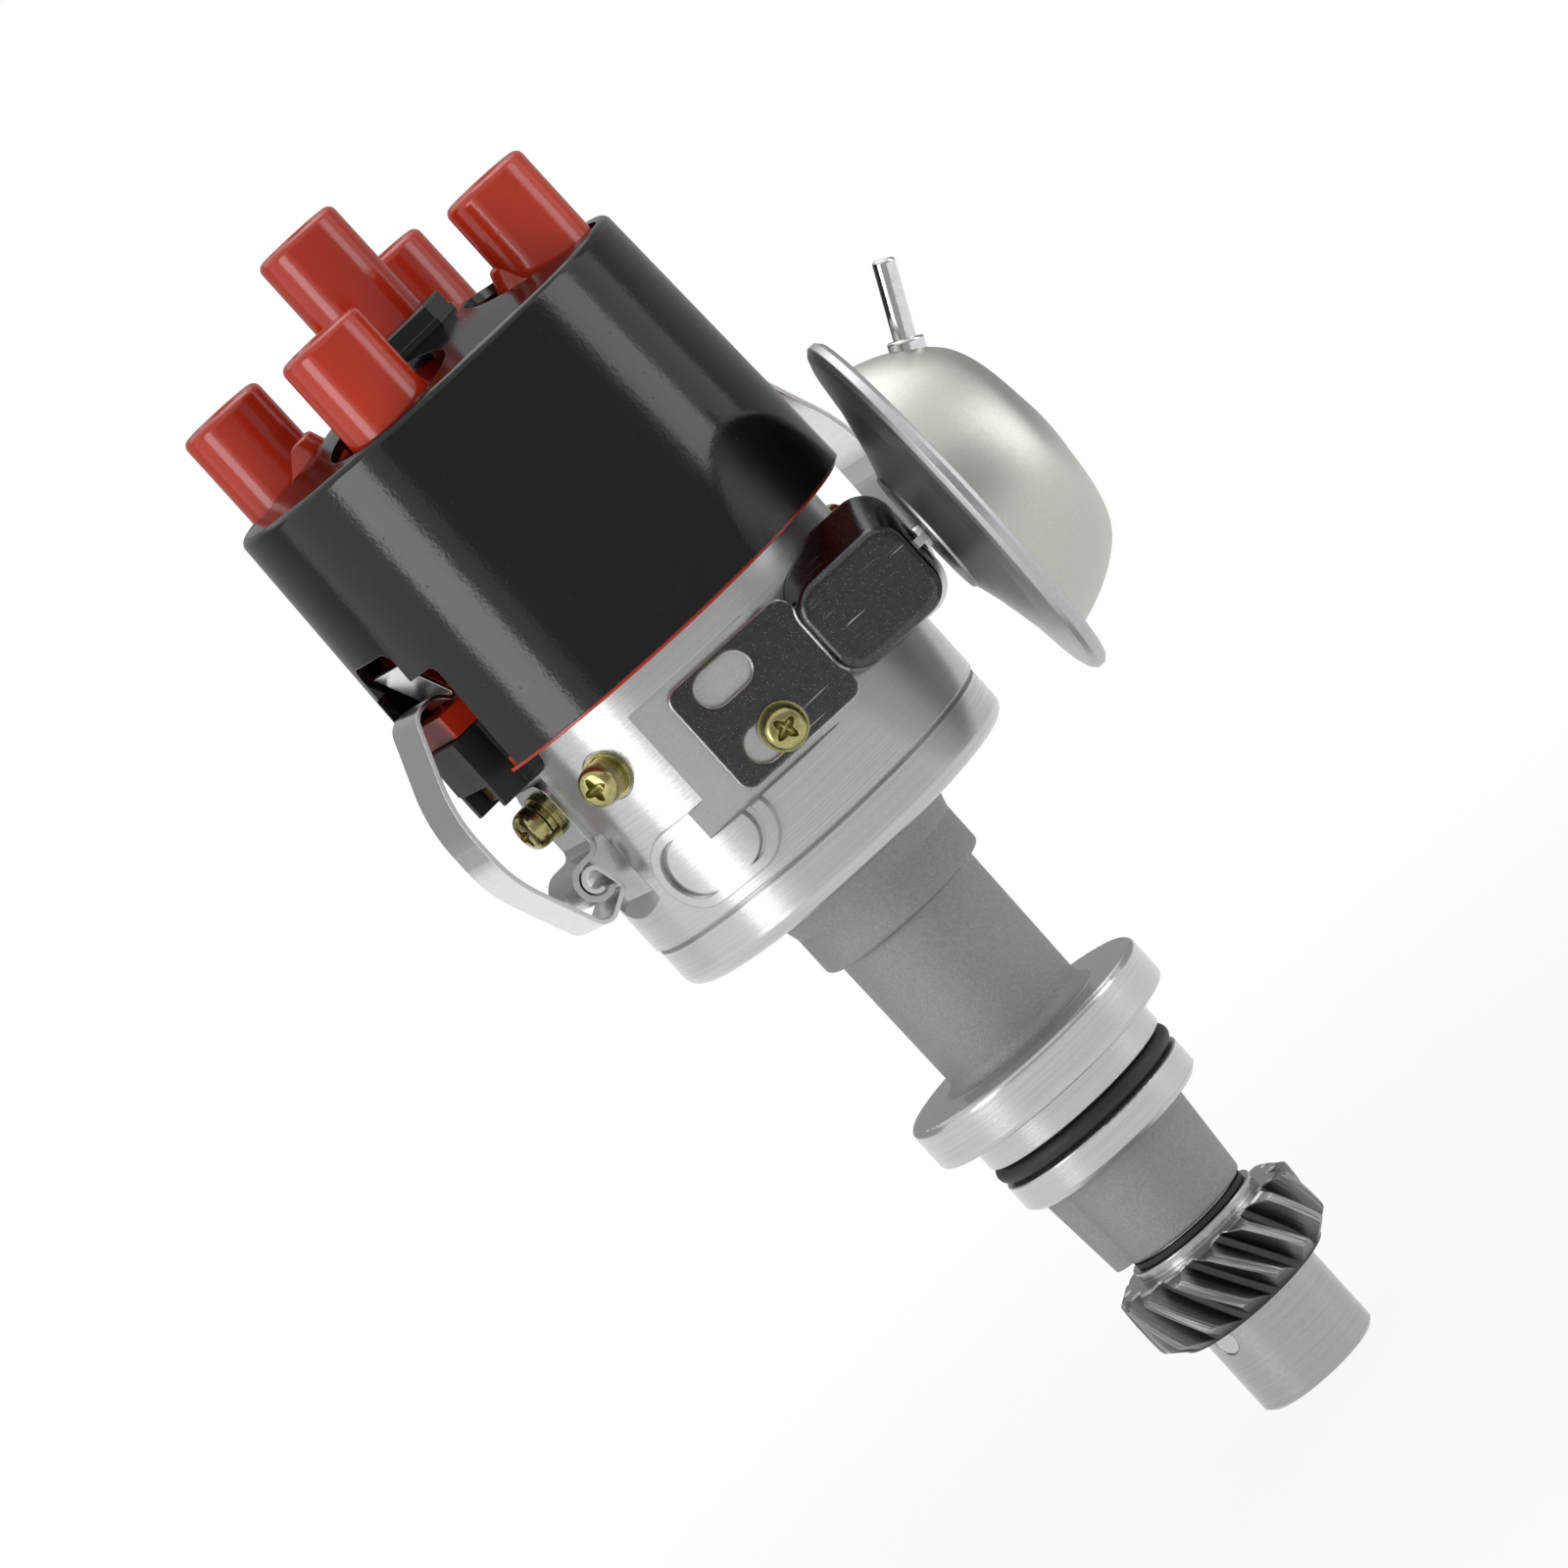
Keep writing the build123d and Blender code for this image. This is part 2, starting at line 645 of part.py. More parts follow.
pin_hole_reach = gear_hub_radius + 0.1
with BuildPart() as drive_gear:
    # One tooth is lofted through turned copies of its section, which gives the helix
    teeth_overlap = 0.4
    twist = degrees(gear_face * tan(radians(gear_helix_angle)) / gear_tip_radius)
    root_half = 0.40 * 360 / gear_teeth
    pitch_half = 0.26 * 360 / gear_teeth
    tip_half = 0.12 * 360 / gear_teeth
    sections = 5
    for index in range(sections):
        share = index / (sections - 1)
        with BuildSketch(Plane.XY.offset(teeth_low + share * gear_face).rotated((0, 0, gear_turn - share * twist))):
            with BuildLine():
                Polyline(
                    polar(-root_half, gear_root_radius - teeth_overlap),
                    polar(-root_half, gear_root_radius),
                    polar(-pitch_half, (gear_root_radius + gear_tip_radius) / 2),
                    polar(-tip_half, gear_tip_radius),
                    polar(tip_half, gear_tip_radius),
                    polar(pitch_half, (gear_root_radius + gear_tip_radius) / 2),
                    polar(root_half, gear_root_radius),
                    polar(root_half, gear_root_radius - teeth_overlap),
                    close=True,
                )
            make_face()
    whole_tooth = loft(mode=Mode.PRIVATE)
    envelope = turned(
        [
            (0, teeth_low),
            (gear_root_radius - 0.2, teeth_low),
            (gear_tip_radius - 0.2, teeth_low + 2.9),
            (gear_tip_radius, teeth_low + 3.4),
            (gear_tip_radius + 0.1, teeth_top - 1.6),
            (gear_root_radius + 1.4, teeth_top),
            (0, teeth_top),
        ]
    )
    tooth = (whole_tooth & envelope).solids()[0]
    add(ring(shaft_radius + slip, gear_root_radius + 0.15, teeth_low, teeth_top))
    with PolarLocations(0, gear_teeth):
        add(tooth)
    add(ring(shaft_radius + slip, gear_collar_radius, teeth_top - 0.5, gear_top))
    add(
        turned(
            [
                (shaft_radius + slip, hub_low),
                (gear_hub_radius - 0.8, hub_low),
                (gear_hub_radius, hub_low + 0.8),
                (gear_hub_radius, teeth_low + 0.5),
                (shaft_radius + slip, teeth_low + 0.5),
            ]
        )
    )
    add(
        radial_rod(gear_pin_azimuth, gear_pin_height, gear_pin_radius + slip, -pin_hole_reach, pin_hole_reach),
        mode=Mode.SUBTRACT,
    )
finish(drive_gear, "drive_gear")

with BuildPart() as gear_pin:
    pin_reach = sqrt(gear_hub_radius**2 - gear_pin_radius**2) - 0.05
    add(radial_rod(gear_pin_azimuth, gear_pin_height, gear_pin_radius, -pin_reach, pin_reach))
finish(gear_pin, "gear_pin")

# Centrifugal advance: carrier on the shaft, two weights, cam plate and sleeve on the spindle
with BuildPart() as weight_carrier:
    add(ring(shaft_radius + slip, carrier_radius, carrier_low, carrier_top))
    with BuildSketch(Plane.XY.offset(carrier_low)):
        with Locations(polar(0, pivot_distance), polar(180, pivot_distance)):
            Circle(pivot_radius + slip)
    extrude(amount=carrier_thickness, mode=Mode.SUBTRACT)
    with BuildSketch(Plane.XY.offset(carrier_top)):
        with Locations(
            polar(carrier_post_angle, carrier_post_distance),
            polar(carrier_post_angle + 180, carrier_post_distance),
        ):
            Circle(post_radius)
    extrude(amount=post_top - carrier_top)
finish(weight_carrier, "weight_carrier")

with BuildPart() as weight_pivots:
    with BuildSketch(Plane.XY.offset(carrier_low)):
        with Locations(polar(0, pivot_distance), polar(180, pivot_distance)):
            Circle(pivot_radius)
    extrude(amount=weight_top + 0.3 - carrier_low)
finish(weight_pivots, "weight_pivots")


def sector_points(inner_radius, outer_radius, start, end):
    """Corners and arc middles of a ring part between two angles from +X."""
    middle = (start + end) / 2
    return (
        polar(start, inner_radius), polar(start, outer_radius), polar(middle, outer_radius),
        polar(end, outer_radius), polar(end, inner_radius), polar(middle, inner_radius),
    )


for name, turn in (("flyweight_a", 0), ("flyweight_b", 180)):
    with BuildPart() as flyweight:
        with BuildSketch(Plane.XY.offset(weight_low)):
            corners = sector_points(
                weight_inner_radius, weight_outer_radius, weight_start + turn, weight_end + turn
            )
            with BuildLine():
                Line(corners[0], corners[1])
                ThreePointArc(corners[1], corners[2], corners[3])
                Line(corners[3], corners[4])
                ThreePointArc(corners[4], corners[5], corners[0])
            weight_outline = make_face()
            fillet(weight_outline.vertices(), radius=2.0)
            with Locations(polar(turn, pivot_distance)):
                Circle(pivot_radius + running, mode=Mode.SUBTRACT)
        extrude(amount=weight_thickness)
        with BuildSketch(Plane.XY.offset(weight_top)):
            with Locations(polar(cam_pin_angle + turn, cam_pin_distance)):
                Circle(cam_pin_radius)
        extrude(amount=cam_plate_top + 0.8 - weight_top)
    finish(flyweight, name)


def swung(point, pivot, angle):
    """Plan point turned clockwise about a pivot."""
    dx, dy = point[0] - pivot[0], point[1] - pivot[1]
    c, s = cos(radians(angle)), sin(radians(angle))
    return (pivot[0] + dx * c + dy * s, pivot[1] - dx * s + dy * c)


cam_pin_rest = polar(cam_pin_angle, cam_pin_distance)
cam_pin_out = swung(cam_pin_rest, polar(0, pivot_distance), weight_swing)
cam_pin_out_distance = sqrt(cam_pin_out[0] ** 2 + cam_pin_out[1] ** 2)
cam_pin_out_angle = degrees(atan2(cam_pin_out[1], cam_pin_out[0])) - cam_advance
cam_slot_end = polar(cam_pin_out_angle, cam_pin_out_distance)

with BuildPart() as cam_plate:
    with BuildSketch(Plane.XY.offset(cam_plate_low)):
        Circle(cam_plate_radius)
        Circle(sleeve_radius + slip, mode=Mode.SUBTRACT)
    extrude(amount=cam_plate_thickness)
    for turn in (0, 180):
        with BuildSketch(Plane.XY.offset(cam_plate_low).rotated((0, 0, turn))):
            with BuildLine():
                Line(cam_pin_rest, cam_slot_end)
            trace(line_width=2 * (cam_pin_radius + 0.4))
            with Locations(cam_pin_rest, cam_slot_end):
                Circle(cam_pin_radius + 0.4)
        extrude(amount=cam_plate_thickness, mode=Mode.SUBTRACT)
    with BuildSketch(Plane.XY.offset(cam_plate_top)):
        with Locations(
            polar(cam_post_angle, cam_post_distance), polar(cam_post_angle + 180, cam_post_distance)
        ):
            Circle(post_radius)
    extrude(amount=post_top - cam_plate_top)
finish(cam_plate, "cam_plate")

with BuildPart() as advance_sleeve:
    add(
        turned(
            [
                (spindle_radius + running, cam_plate_low - 0.1),
                (sleeve_radius, cam_plate_low - 0.1),
                (sleeve_radius, sleeve_top),
                (spindle_radius + 1.4, sleeve_top),
                (spindle_radius + 1.4, spindle_top - 1.3),
                (spindle_radius + running, spindle_top - 1.3),
            ]
        )
    )
finish(advance_sleeve, "advance_sleeve")

with BuildPart() as sleeve_circlip:
    add(ring(spindle_radius - 0.6 + slip, spindle_radius + 1.1, spindle_top - 1.1, spindle_top - 0.5))
finish(sleeve_circlip, "sleeve_circlip")

with BuildPart() as felt_wick:
    with BuildSketch(Plane.XY.offset(spindle_top + 0.05)):
        Circle(spindle_radius - 0.4)
    extrude(amount=1.2)
finish(felt_wick, "felt_wick")

# Advance springs: close-wound coils with an eye round each post
for name, turn in (("advance_spring_a", 0), ("advance_spring_b", 180)):
    post_far = Vector(*polar(carrier_post_angle + turn, carrier_post_distance), spring_height)
    post_near = Vector(*polar(cam_post_angle + turn, cam_post_distance), spring_height)
    along = (post_near - post_far).normalized()
    eye_radius = post_radius + 0.1 + spring_wire / 2
    coil_start = post_far + along * (eye_radius + spring_wire)
    coil_length = (post_near - post_far).length - 2 * (eye_radius + spring_wire)
    with BuildPart() as advance_spring:
        with BuildLine():
            coil = Helix(
                pitch=1.5 * spring_wire, height=coil_length, radius=spring_coil_radius - spring_wire / 2,
                center=coil_start, direction=along,
            )
        with BuildSketch(Plane(origin=coil @ 0, z_dir=coil % 0)):
            Circle(spring_wire / 2)
        sweep(path=coil)
        for place in (post_far, post_near):
            with BuildSketch(Plane(origin=place, x_dir=(1, 0, 0), z_dir=(0, -1, 0))):
                with Locations((eye_radius, 0)):
                    Circle(spring_wire / 2)
            revolve(axis=Axis(place, (0, 0, 1)))
        for place, heading in ((post_far, along), (post_near, along * -1)):
            with BuildSketch(Plane(origin=place + heading * eye_radius, z_dir=heading)):
                Circle(spring_wire / 2)
            extrude(amount=spring_wire * 1.4)
            bar_foot = place + heading * (eye_radius + spring_wire)
            with BuildSketch(Plane(origin=bar_foot, x_dir=(0, 0, 1), z_dir=heading)):
                Rectangle(2 * spring_coil_radius - spring_wire, spring_wire)
            extrude(amount=spring_wire)
    finish(advance_spring, name)

# Trigger wheel on the sleeve
trigger_low = pickup_plate_top + 2.7
trigger_top = trigger_low + trigger_height
with BuildPart() as trigger_wheel:
    for azimuth in (15, 105, 195, 285):
        add(block(azimuth, sleeve_radius + 1, trigger_tip_radius + 1, 2.2, trigger_top - 3.0, trigger_top))
    with BuildSketch(Plane.XY.offset(trigger_low)):
        Circle(trigger_tip_radius)
    extrude(amount=trigger_height, mode=Mode.INTERSECT)
    add(ring(sleeve_radius + slip, sleeve_radius + 2.5, trigger_low, trigger_top))
    add(ring(0, sleeve_radius + slip, trigger_low - 1, trigger_top + 1), mode=Mode.SUBTRACT)
finish(trigger_wheel, "trigger_wheel")

# Base plate with its collar and upturned tabs, and the pickup parts that turn on the collar
retainer_low = pickup_plate_top + 0.25
retainer_top = retainer_low + 0.8
with BuildPart() as base_plate:
    add(ring(collar_bore, bowl_inner_radius - air, base_plate_low, base_plate_top))
    add(ring(collar_bore, collar_outer, base_plate_low, retainer_top + 0.3))
    add(ring(collar_outer - 0.7, collar_outer + 1, retainer_low - 0.02, retainer_top + 0.02), mode=Mode.SUBTRACT)
    tab_azimuths = [*clip_azimuths.values(), plate_screw_azimuth]
    tab_half_angle = degrees(asin(base_tab_width / 2 / (bowl_inner_radius - air)))
    tab_outer = bowl_inner_radius - air
    for azimuth in tab_azimuths:
        add(sector(tab_outer - base_tab_thickness, tab_outer, azimuth, tab_half_angle, base_plate_low, base_tab_top))
        add(
            radial_rod(azimuth, clip_screw_height if azimuth != plate_screw_azimuth else plate_screw_height,
                       screw_radius + slip, tab_outer - 4, tab_outer + 2),
            mode=Mode.SUBTRACT,
        )
finish(base_plate, "base_plate")

with BuildPart() as pickup_plate:
    pin_place = around(rod_pin_azimuth, can_offset)
    add(ring(collar_outer + running, pickup_plate_radius, pickup_plate_low, pickup_plate_top))
    add(
        block(rod_pin_azimuth, pickup_plate_radius - 4, can_offset, rod_eye_radius, pickup_plate_low, pickup_plate_top)
    )
    with BuildSketch(Plane.XY.offset(pickup_plate_low)):
        with Locations(pin_place):
            Circle(rod_eye_radius)
    extrude(amount=pickup_plate_thickness)
    with BuildSketch(Plane.XY.offset(pickup_plate_low)):
        with Locations(pin_place):
            Circle(rod_pin_radius)
    extrude(amount=can_height + rod_thickness / 2 + 1.1 - pickup_plate_low)
finish(pickup_plate, "pickup_plate")

with BuildPart() as plate_retainer:
    add(ring(collar_outer - 0.66, collar_outer + 1.8, retainer_low, retainer_top))
    add(block(180, 3, 14, 2.0, retainer_low - 1, retainer_top + 1), mode=Mode.SUBTRACT)
finish(plate_retainer, "plate_retainer")

coil_low = pickup_plate_top + 0.05
with BuildPart() as pickup_coil:
    add(
        turned(
            [
                (coil_inner_radius, coil_low),
                (coil_outer_radius, coil_low),
                (coil_outer_radius, coil_low + 0.8),
                (coil_outer_radius - 0.7, coil_low + 0.8),
                (coil_outer_radius - 0.7, coil_top - 0.8),
                (coil_outer_radius, coil_top - 0.8),
                (coil_outer_radius, coil_top),
                (coil_inner_radius, coil_top),
            ]
        )
    )
finish(pickup_coil, "pickup_coil")

with BuildPart() as magnet_ring:
    add(ring(coil_outer_radius + 0.3, magnet_outer_radius, coil_low, coil_top))
finish(magnet_ring, "magnet_ring")

with BuildPart() as stator_ring:
    stator_low = coil_top + 0.05
    add(ring(coil_inner_radius, magnet_outer_radius, stator_low, stator_top))
    for azimuth in (45, 135, 225, 315):
        add(sector(stator_inner_radius, stator_inner_radius + 1.8, azimuth, 7.0, stator_low, pole_top))
finish(stator_ring, "stator_ring")

# Dust cover, rotor arm and its electrode
with BuildPart() as dust_cover:
    cover_seat = cover_ledge + 0.05
    add(
        turned(
            [
                (dust_cover_hole, cover_seat),
                (cover_seat_radius - 0.2, cover_seat),
                (cover_seat_radius - 0.2, cover_seat + dust_cover_thickness),
                (dust_cover_hole + 1.4, cover_seat + dust_cover_thickness),
                (dust_cover_hole + 1.4, cover_seat + 3.2),
                (dust_cover_hole, cover_seat + 3.2),
            ]
        )
    )
finish(dust_cover, "dust_cover")

arm_low = rotor_top - 3.6
with BuildPart() as rotor_arm:
    add(
        turned(
            [
                (sleeve_radius + slip, rotor_hub_low),
                (rotor_hub_radius, rotor_hub_low),
                (rotor_hub_radius - 0.5, arm_low + 0.5),
                (0, arm_low + 0.5),
                (0, sleeve_top + 0.4),
                (sleeve_radius + slip, sleeve_top + 0.4),
            ]
        )
    )
    with BuildSketch(Plane.XY.offset(arm_low)):
        with BuildLine():
            Polyline(
                around(rotor_azimuth, 0, -8.4),
                around(rotor_azimuth, rotor_reach - 2.6, -4.6),
                around(rotor_azimuth, rotor_reach - 2.6, 4.6),
                around(rotor_azimuth, 0, 8.4),
                close=True,
            )
        make_face()
        Circle(rotor_hub_radius + 0.6)
    extrude(amount=rotor_top - arm_low)
finish(rotor_arm, "rotor_arm")

with BuildPart() as rotor_electrode:
    electrode_top = rotor_top + electrode_thickness
    with BuildSketch(Plane.XY.offset(rotor_top)):
        Circle(4.0)
    extrude(amount=electrode_thickness)
    add(block(rotor_azimuth, 0, rotor_reach + 1, 3.0, rotor_top, electrode_top))
    add(block(rotor_azimuth, rotor_reach - 2.4, rotor_reach + 1, 3.6, arm_low + 0.5, electrode_top))
    with BuildSketch(Plane.XY.offset(arm_low)):
        Circle(rotor_reach)
    extrude(amount=electrode_top - arm_low, mode=Mode.INTERSECT)
finish(rotor_electrode, "rotor_electrode")

# Cap: one moulding with a ledge for each clip and five sockets
tower_places = [around(azimuth, tower_pitch_radius) for azimuth in tower_azimuths]
with BuildPart() as cap_moulding:
    add(
        turned(
            [
                (bowl_radius + 0.2, cap_rim_low),
                (cap_rim_radius, cap_rim_low),
                (cap_rim_radius, cover_low - 0.05),
                (cap_rim_radius - 1.2, cover_low - 0.05),
                (cap_rim_radius - 1.2, cap_rim_low + 2.4),
                (cap_skirt_radius, cap_rim_low + 2.4),
                (cap_skirt_radius, ledge_low),
                (cap_wall_radius, ledge_low + 0.05),
                (cap_wall_radius, cap_deck_top),
                (0, cap_deck_top),
                (0, cap_seat + 0.05),
                (bowl_radius + 0.2, cap_seat + 0.05),
            ],
            [0, 0, 0, 0, 0.3, 0.8, 0.8, 0.8, 2.5, 0, 0, 0.3],
        )
    )
    for place in tower_places:
        add(
            turned(
                [
                    (0, ledge_low),
                    (tower_radius - 4.5, ledge_low),
                    (tower_radius, ledge_low + 9.5),
                    (tower_top_radius, tower_top),
                    (0, tower_top),
                ],
                [0, 0, 2.0, 1.5, 0],
                place,
            )
        )
    add(
        turned(
            [(0, cap_ceiling), (tower_radius, cap_ceiling), (tower_top_radius, centre_tower_top), (0, centre_tower_top)],
            [0, 0, 1.5, 0],
        )
    )
    for azimuth in tower_azimuths:
        add(
            turned(
                [(0, cap_deck_top), (8.5, cap_deck_top), (8.5, cover_shoulder - 1.2), (5.9, cover_crown + 1),
                 (0, cover_crown + 1)],
                [0, 0, 2.0, 1.0, 0],
                around(azimuth, cover_hole_pitch),
            )
        )
    for azimuth in clip_azimuths.values():
        add(block(azimuth, cap_inner_radius + 1, ledge_reach, ledge_width / 2, ledge_low - 0.05, ledge_top))
    add(ring(0, cap_inner_radius, cap_rim_low, cap_ceiling), mode=Mode.SUBTRACT)
    for place in tower_places:
        add(
            turned([(0, ledge_low), (4.2, ledge_low + 1), (4.8, cap_ceiling + 1), (0, cap_ceiling + 1)], None, place)
        )
    add(turned([(0, brush_holder_low), (5.6, brush_holder_low), (6.4, cap_ceiling + 1), (0, cap_ceiling + 1)]))
    for place in tower_places:
        add(
            turned(
                [
                    (0, ledge_low - 1),
                    (terminal_radius + slip, ledge_low - 1),
                    (terminal_radius + slip, socket_floor),
                    (terminal_seat_radius, socket_floor),
                    (terminal_seat_radius, socket_floor + terminal_seat_depth),
                    (socket_radius, socket_floor + terminal_seat_depth),
                    (socket_radius, tower_top - 0.8),
                    (socket_radius + 0.8, tower_top),
                    (socket_radius + 0.8, tower_top + 1),
                    (0, tower_top + 1),
                ],
                None,
                place,
            ),
            mode=Mode.SUBTRACT,
        )
    add(
        turned(
            [
                (0, brush_holder_low - 1),
                (terminal_radius + slip, brush_holder_low - 1),
                (terminal_radius + slip, centre_socket_floor),
                (terminal_seat_radius, centre_socket_floor),
                (terminal_seat_radius, centre_socket_floor + terminal_seat_depth),
                (socket_radius, centre_socket_floor + terminal_seat_depth),
                (socket_radius, centre_tower_top - 0.8),
                (socket_radius + 0.8, centre_tower_top),
                (socket_radius + 0.8, centre_tower_top + 1),
                (0, centre_tower_top + 1),
            ]
        ),
        mode=Mode.SUBTRACT,
    )
    add(
        sector(bowl_radius + 0.05, 2 * bowl_radius, clip_azimuths["left"], connector_flange_half_angle + 0.8,
               cap_rim_low - 2, connector_top + 0.2),
        mode=Mode.SUBTRACT,
    )
finish(cap_moulding, "cap_moulding")

with BuildPart() as outer_terminals:
    for place in tower_places:
        add(
            turned(
                [
                    (0, arm_low - 0.5),
                    (terminal_radius, arm_low - 0.5),
                    (terminal_radius, socket_floor + slip),
                    (terminal_seat_radius - 0.1, socket_floor + slip),
                    (terminal_seat_radius - 0.1, socket_floor + slip + terminal_head_height),
                    (0, socket_floor + slip + terminal_head_height),
                ],
                None,
                place,
            )
        )
finish(outer_terminals, "outer_terminals")

brush_low = electrode_top + air
brush_top = brush_low + brush_length
centre_terminal_low = brush_top + brush_travel + 8.8
with BuildPart() as centre_terminal:
    add(
        turned(
            [
                (0, centre_terminal_low),
                (terminal_radius, centre_terminal_low),
                (terminal_radius, centre_socket_floor + slip),
                (terminal_seat_radius - 0.1, centre_socket_floor + slip),
                (terminal_seat_radius - 0.1, centre_socket_floor + slip + terminal_head_height),
                (0, centre_socket_floor + slip + terminal_head_height),
            ]
        )
    )
finish(centre_terminal, "centre_terminal")

with BuildPart() as carbon_brush:
    add(turned([(0, brush_low), (brush_radius, brush_low), (brush_radius, brush_top), (0, brush_top)], [0, 1.0, 0.3, 0]))
finish(carbon_brush, "carbon_brush")

with BuildPart() as brush_spring:
    with BuildLine():
        spring_path = Helix(
            pitch=1.6, height=centre_terminal_low - brush_top - 0.6, radius=1.9, center=(0, 0, brush_top + 0.3)
        )
    with BuildSketch(Plane(origin=spring_path @ 0, z_dir=spring_path % 0)):
        Circle(0.22)
    sweep(path=spring_path)
finish(brush_spring, "brush_spring")

# Cover over the cap, locked by a flat-sided ring round the centre tower
cover_corner_height = cover_shoulder - 0.25
with BuildPart() as cap_shield:
    add(
        turned(
            [
                (cover_low_radius - cover_wall, cover_low),
                (cover_low_radius, cover_low),
                (cover_top_radius, cover_corner_height),
                (cover_crown_radius, cover_crown),
                (tower_radius + 0.3, cover_crown),
                (tower_radius + 0.3, cover_crown - cover_wall),
                (cover_crown_radius, cover_crown - cover_wall),
                (cover_top_radius - cover_wall, cover_corner_height - 1.45),
            ],
            [0, 0, 1.6, 4.0, 0, 0, 2.0, 0.8],
        )
    )
    with BuildSketch(Plane.XY.offset(cover_shoulder - 2)):
        with Locations([around(azimuth, cover_hole_pitch) for azimuth in tower_azimuths]):
            Circle(cover_hole_radius)
    extrude(amount=10, mode=Mode.SUBTRACT)
    for azimuth, hand in ((clip_azimuths["left"], 1), (clip_azimuths["right"], -1)):
        with BuildSketch(face_plane(azimuth, bowl_radius, 0)):
            with Locations((1.8 * hand, ledge_top - 6.75)):
                RectangleRounded(27.6, 29.0, 1.5)
            with Locations((0, ledge_top + 3.75)):
                RectangleRounded(17.0, 21.0, 2.5)
        extrude(amount=15, mode=Mode.SUBTRACT)
finish(cap_shield, "cap_shield")

with BuildPart() as lock_ring:
    with BuildSketch(Plane.XY.offset(cover_crown + 0.02)):
        RegularPolygon(radius=lock_ring_apothem + 0.4, side_count=8, major_radius=False)
    extrude(amount=1.3)
    with BuildSketch(Plane.XY.offset(cover_crown + 0.02)):
        RegularPolygon(radius=lock_ring_apothem, side_count=8, major_radius=False)
    extrude(amount=lock_ring_height)
    chamfer(lock_ring.faces().sort_by(Axis.Z)[-1].edges(), length=0.4)
    add(ring(0, tower_radius + 0.1, cover_crown - 1, cover_crown + 10), mode=Mode.SUBTRACT)
finish(lock_ring, "lock_ring")

# Pickup connector: flange round the bowl, downward socket, stem through the bowl's notch
connector_wall = 1.4
connector_far = connector_reach - connector_wall
connector_ceiling = connector_top - 2.5
with BuildPart() as connector_socket:
    azimuth = clip_azimuths["left"]
    add(
        sector(bowl_radius + 0.2, connector_flange_radius, azimuth, connector_flange_half_angle + 4, connector_low,
               connector_top)
    )
    with BuildSketch(face_plane(azimuth, bowl_inner_radius - 5, (connector_low + connector_top) / 2)):
        flange_width = 2 * connector_flange_radius * sin(radians(connector_flange_half_angle))
        RectangleRounded(flange_width, connector_top - connector_low, 2.5)
    extrude(amount=20, mode=Mode.INTERSECT)
    add(block(azimuth, bowl_radius + 0.6, connector_reach, connector_half_width, connector_low, connector_top))
    add(
        block(azimuth, connector_flange_radius + 0.4, connector_far, connector_half_width - connector_wall,
              connector_low - 2, connector_ceiling),
        mode=Mode.SUBTRACT,
    )
    add(
        block(azimuth, connector_far - 1, connector_reach + 1, connector_half_width - connector_wall,
              connector_low - 2, connector_low + 4.5),
        mode=Mode.SUBTRACT,
    )
    add(
        block(azimuth, bowl_inner_radius - 1.1, bowl_radius + 0.9, connector_half_width - 0.2, connector_low,
              bowl_rim - air)
    )
    for side in (-2.6, 2.6):
        with BuildSketch(Plane(origin=(*around(azimuth, 40.05, side), connector_ceiling - 1),
                               x_dir=(*around(azimuth, 1.0), 0), z_dir=(0, 0, 1))):
            Rectangle(0.84, 3.24)
        extrude(amount=3.1, mode=Mode.SUBTRACT)
finish(connector_socket, "connector_socket")

with BuildPart() as connector_blades:
    for side in (-2.6, 2.6):
        with BuildSketch(Plane(origin=(*around(clip_azimuths["left"], 40.05, side), connector_low + 1),
                               x_dir=(*around(clip_azimuths["left"], 1.0), 0), z_dir=(0, 0, 1))):
            Rectangle(0.8, 3.2)
        extrude(amount=connector_ceiling + 2 - connector_low - 1)
finish(connector_blades, "connector_blades")

# Spring clips: a bowed strip whose lower curl lies inside the curl of a screwed bracket
hinge = (hinge_radius, hinge_height)
strip_start = (
    hinge_radius + strip_curl_radius * cos(radians(165)), hinge_height + strip_curl_radius * sin(radians(165))
)
strip_foot = (hinge_radius + 3.55, hinge_height - 7.75)
bow_low = (bow_radius, hinge_height + 9.4)
bow_top = (bow_radius, ledge_top - 13.35)
strip_shoulder = (ledge_reach + 2.63, ledge_top + 3.1)
strip_corners = [
    strip_start, (hinge_radius - 3.2, hinge_height - 4.2), strip_foot, bow_low, bow_top, strip_shoulder,
    (ledge_reach - 2.1, ledge_top + 3.1), (ledge_reach - 6.7, ledge_top - 1.25),
    (ledge_reach - 1.15, ledge_top + 11.05),
]
low_turn = atan2(bow_radius - strip_foot[0], bow_low[1] - strip_foot[1])
top_turn = atan2(bow_radius - strip_shoulder[0], strip_shoulder[1] - bow_top[1])
bow_low_round = bow_low_bend / tan(low_turn / 2)
bow_top_round = bow_top_bend / tan(top_turn / 2)
strip_rounds = [1.2, 2.6, bow_low_round, bow_top_round, 3.0, 3.5, 0.7]
bracket_face = clip_pad_radius + 0.02 + bracket_thickness / 2
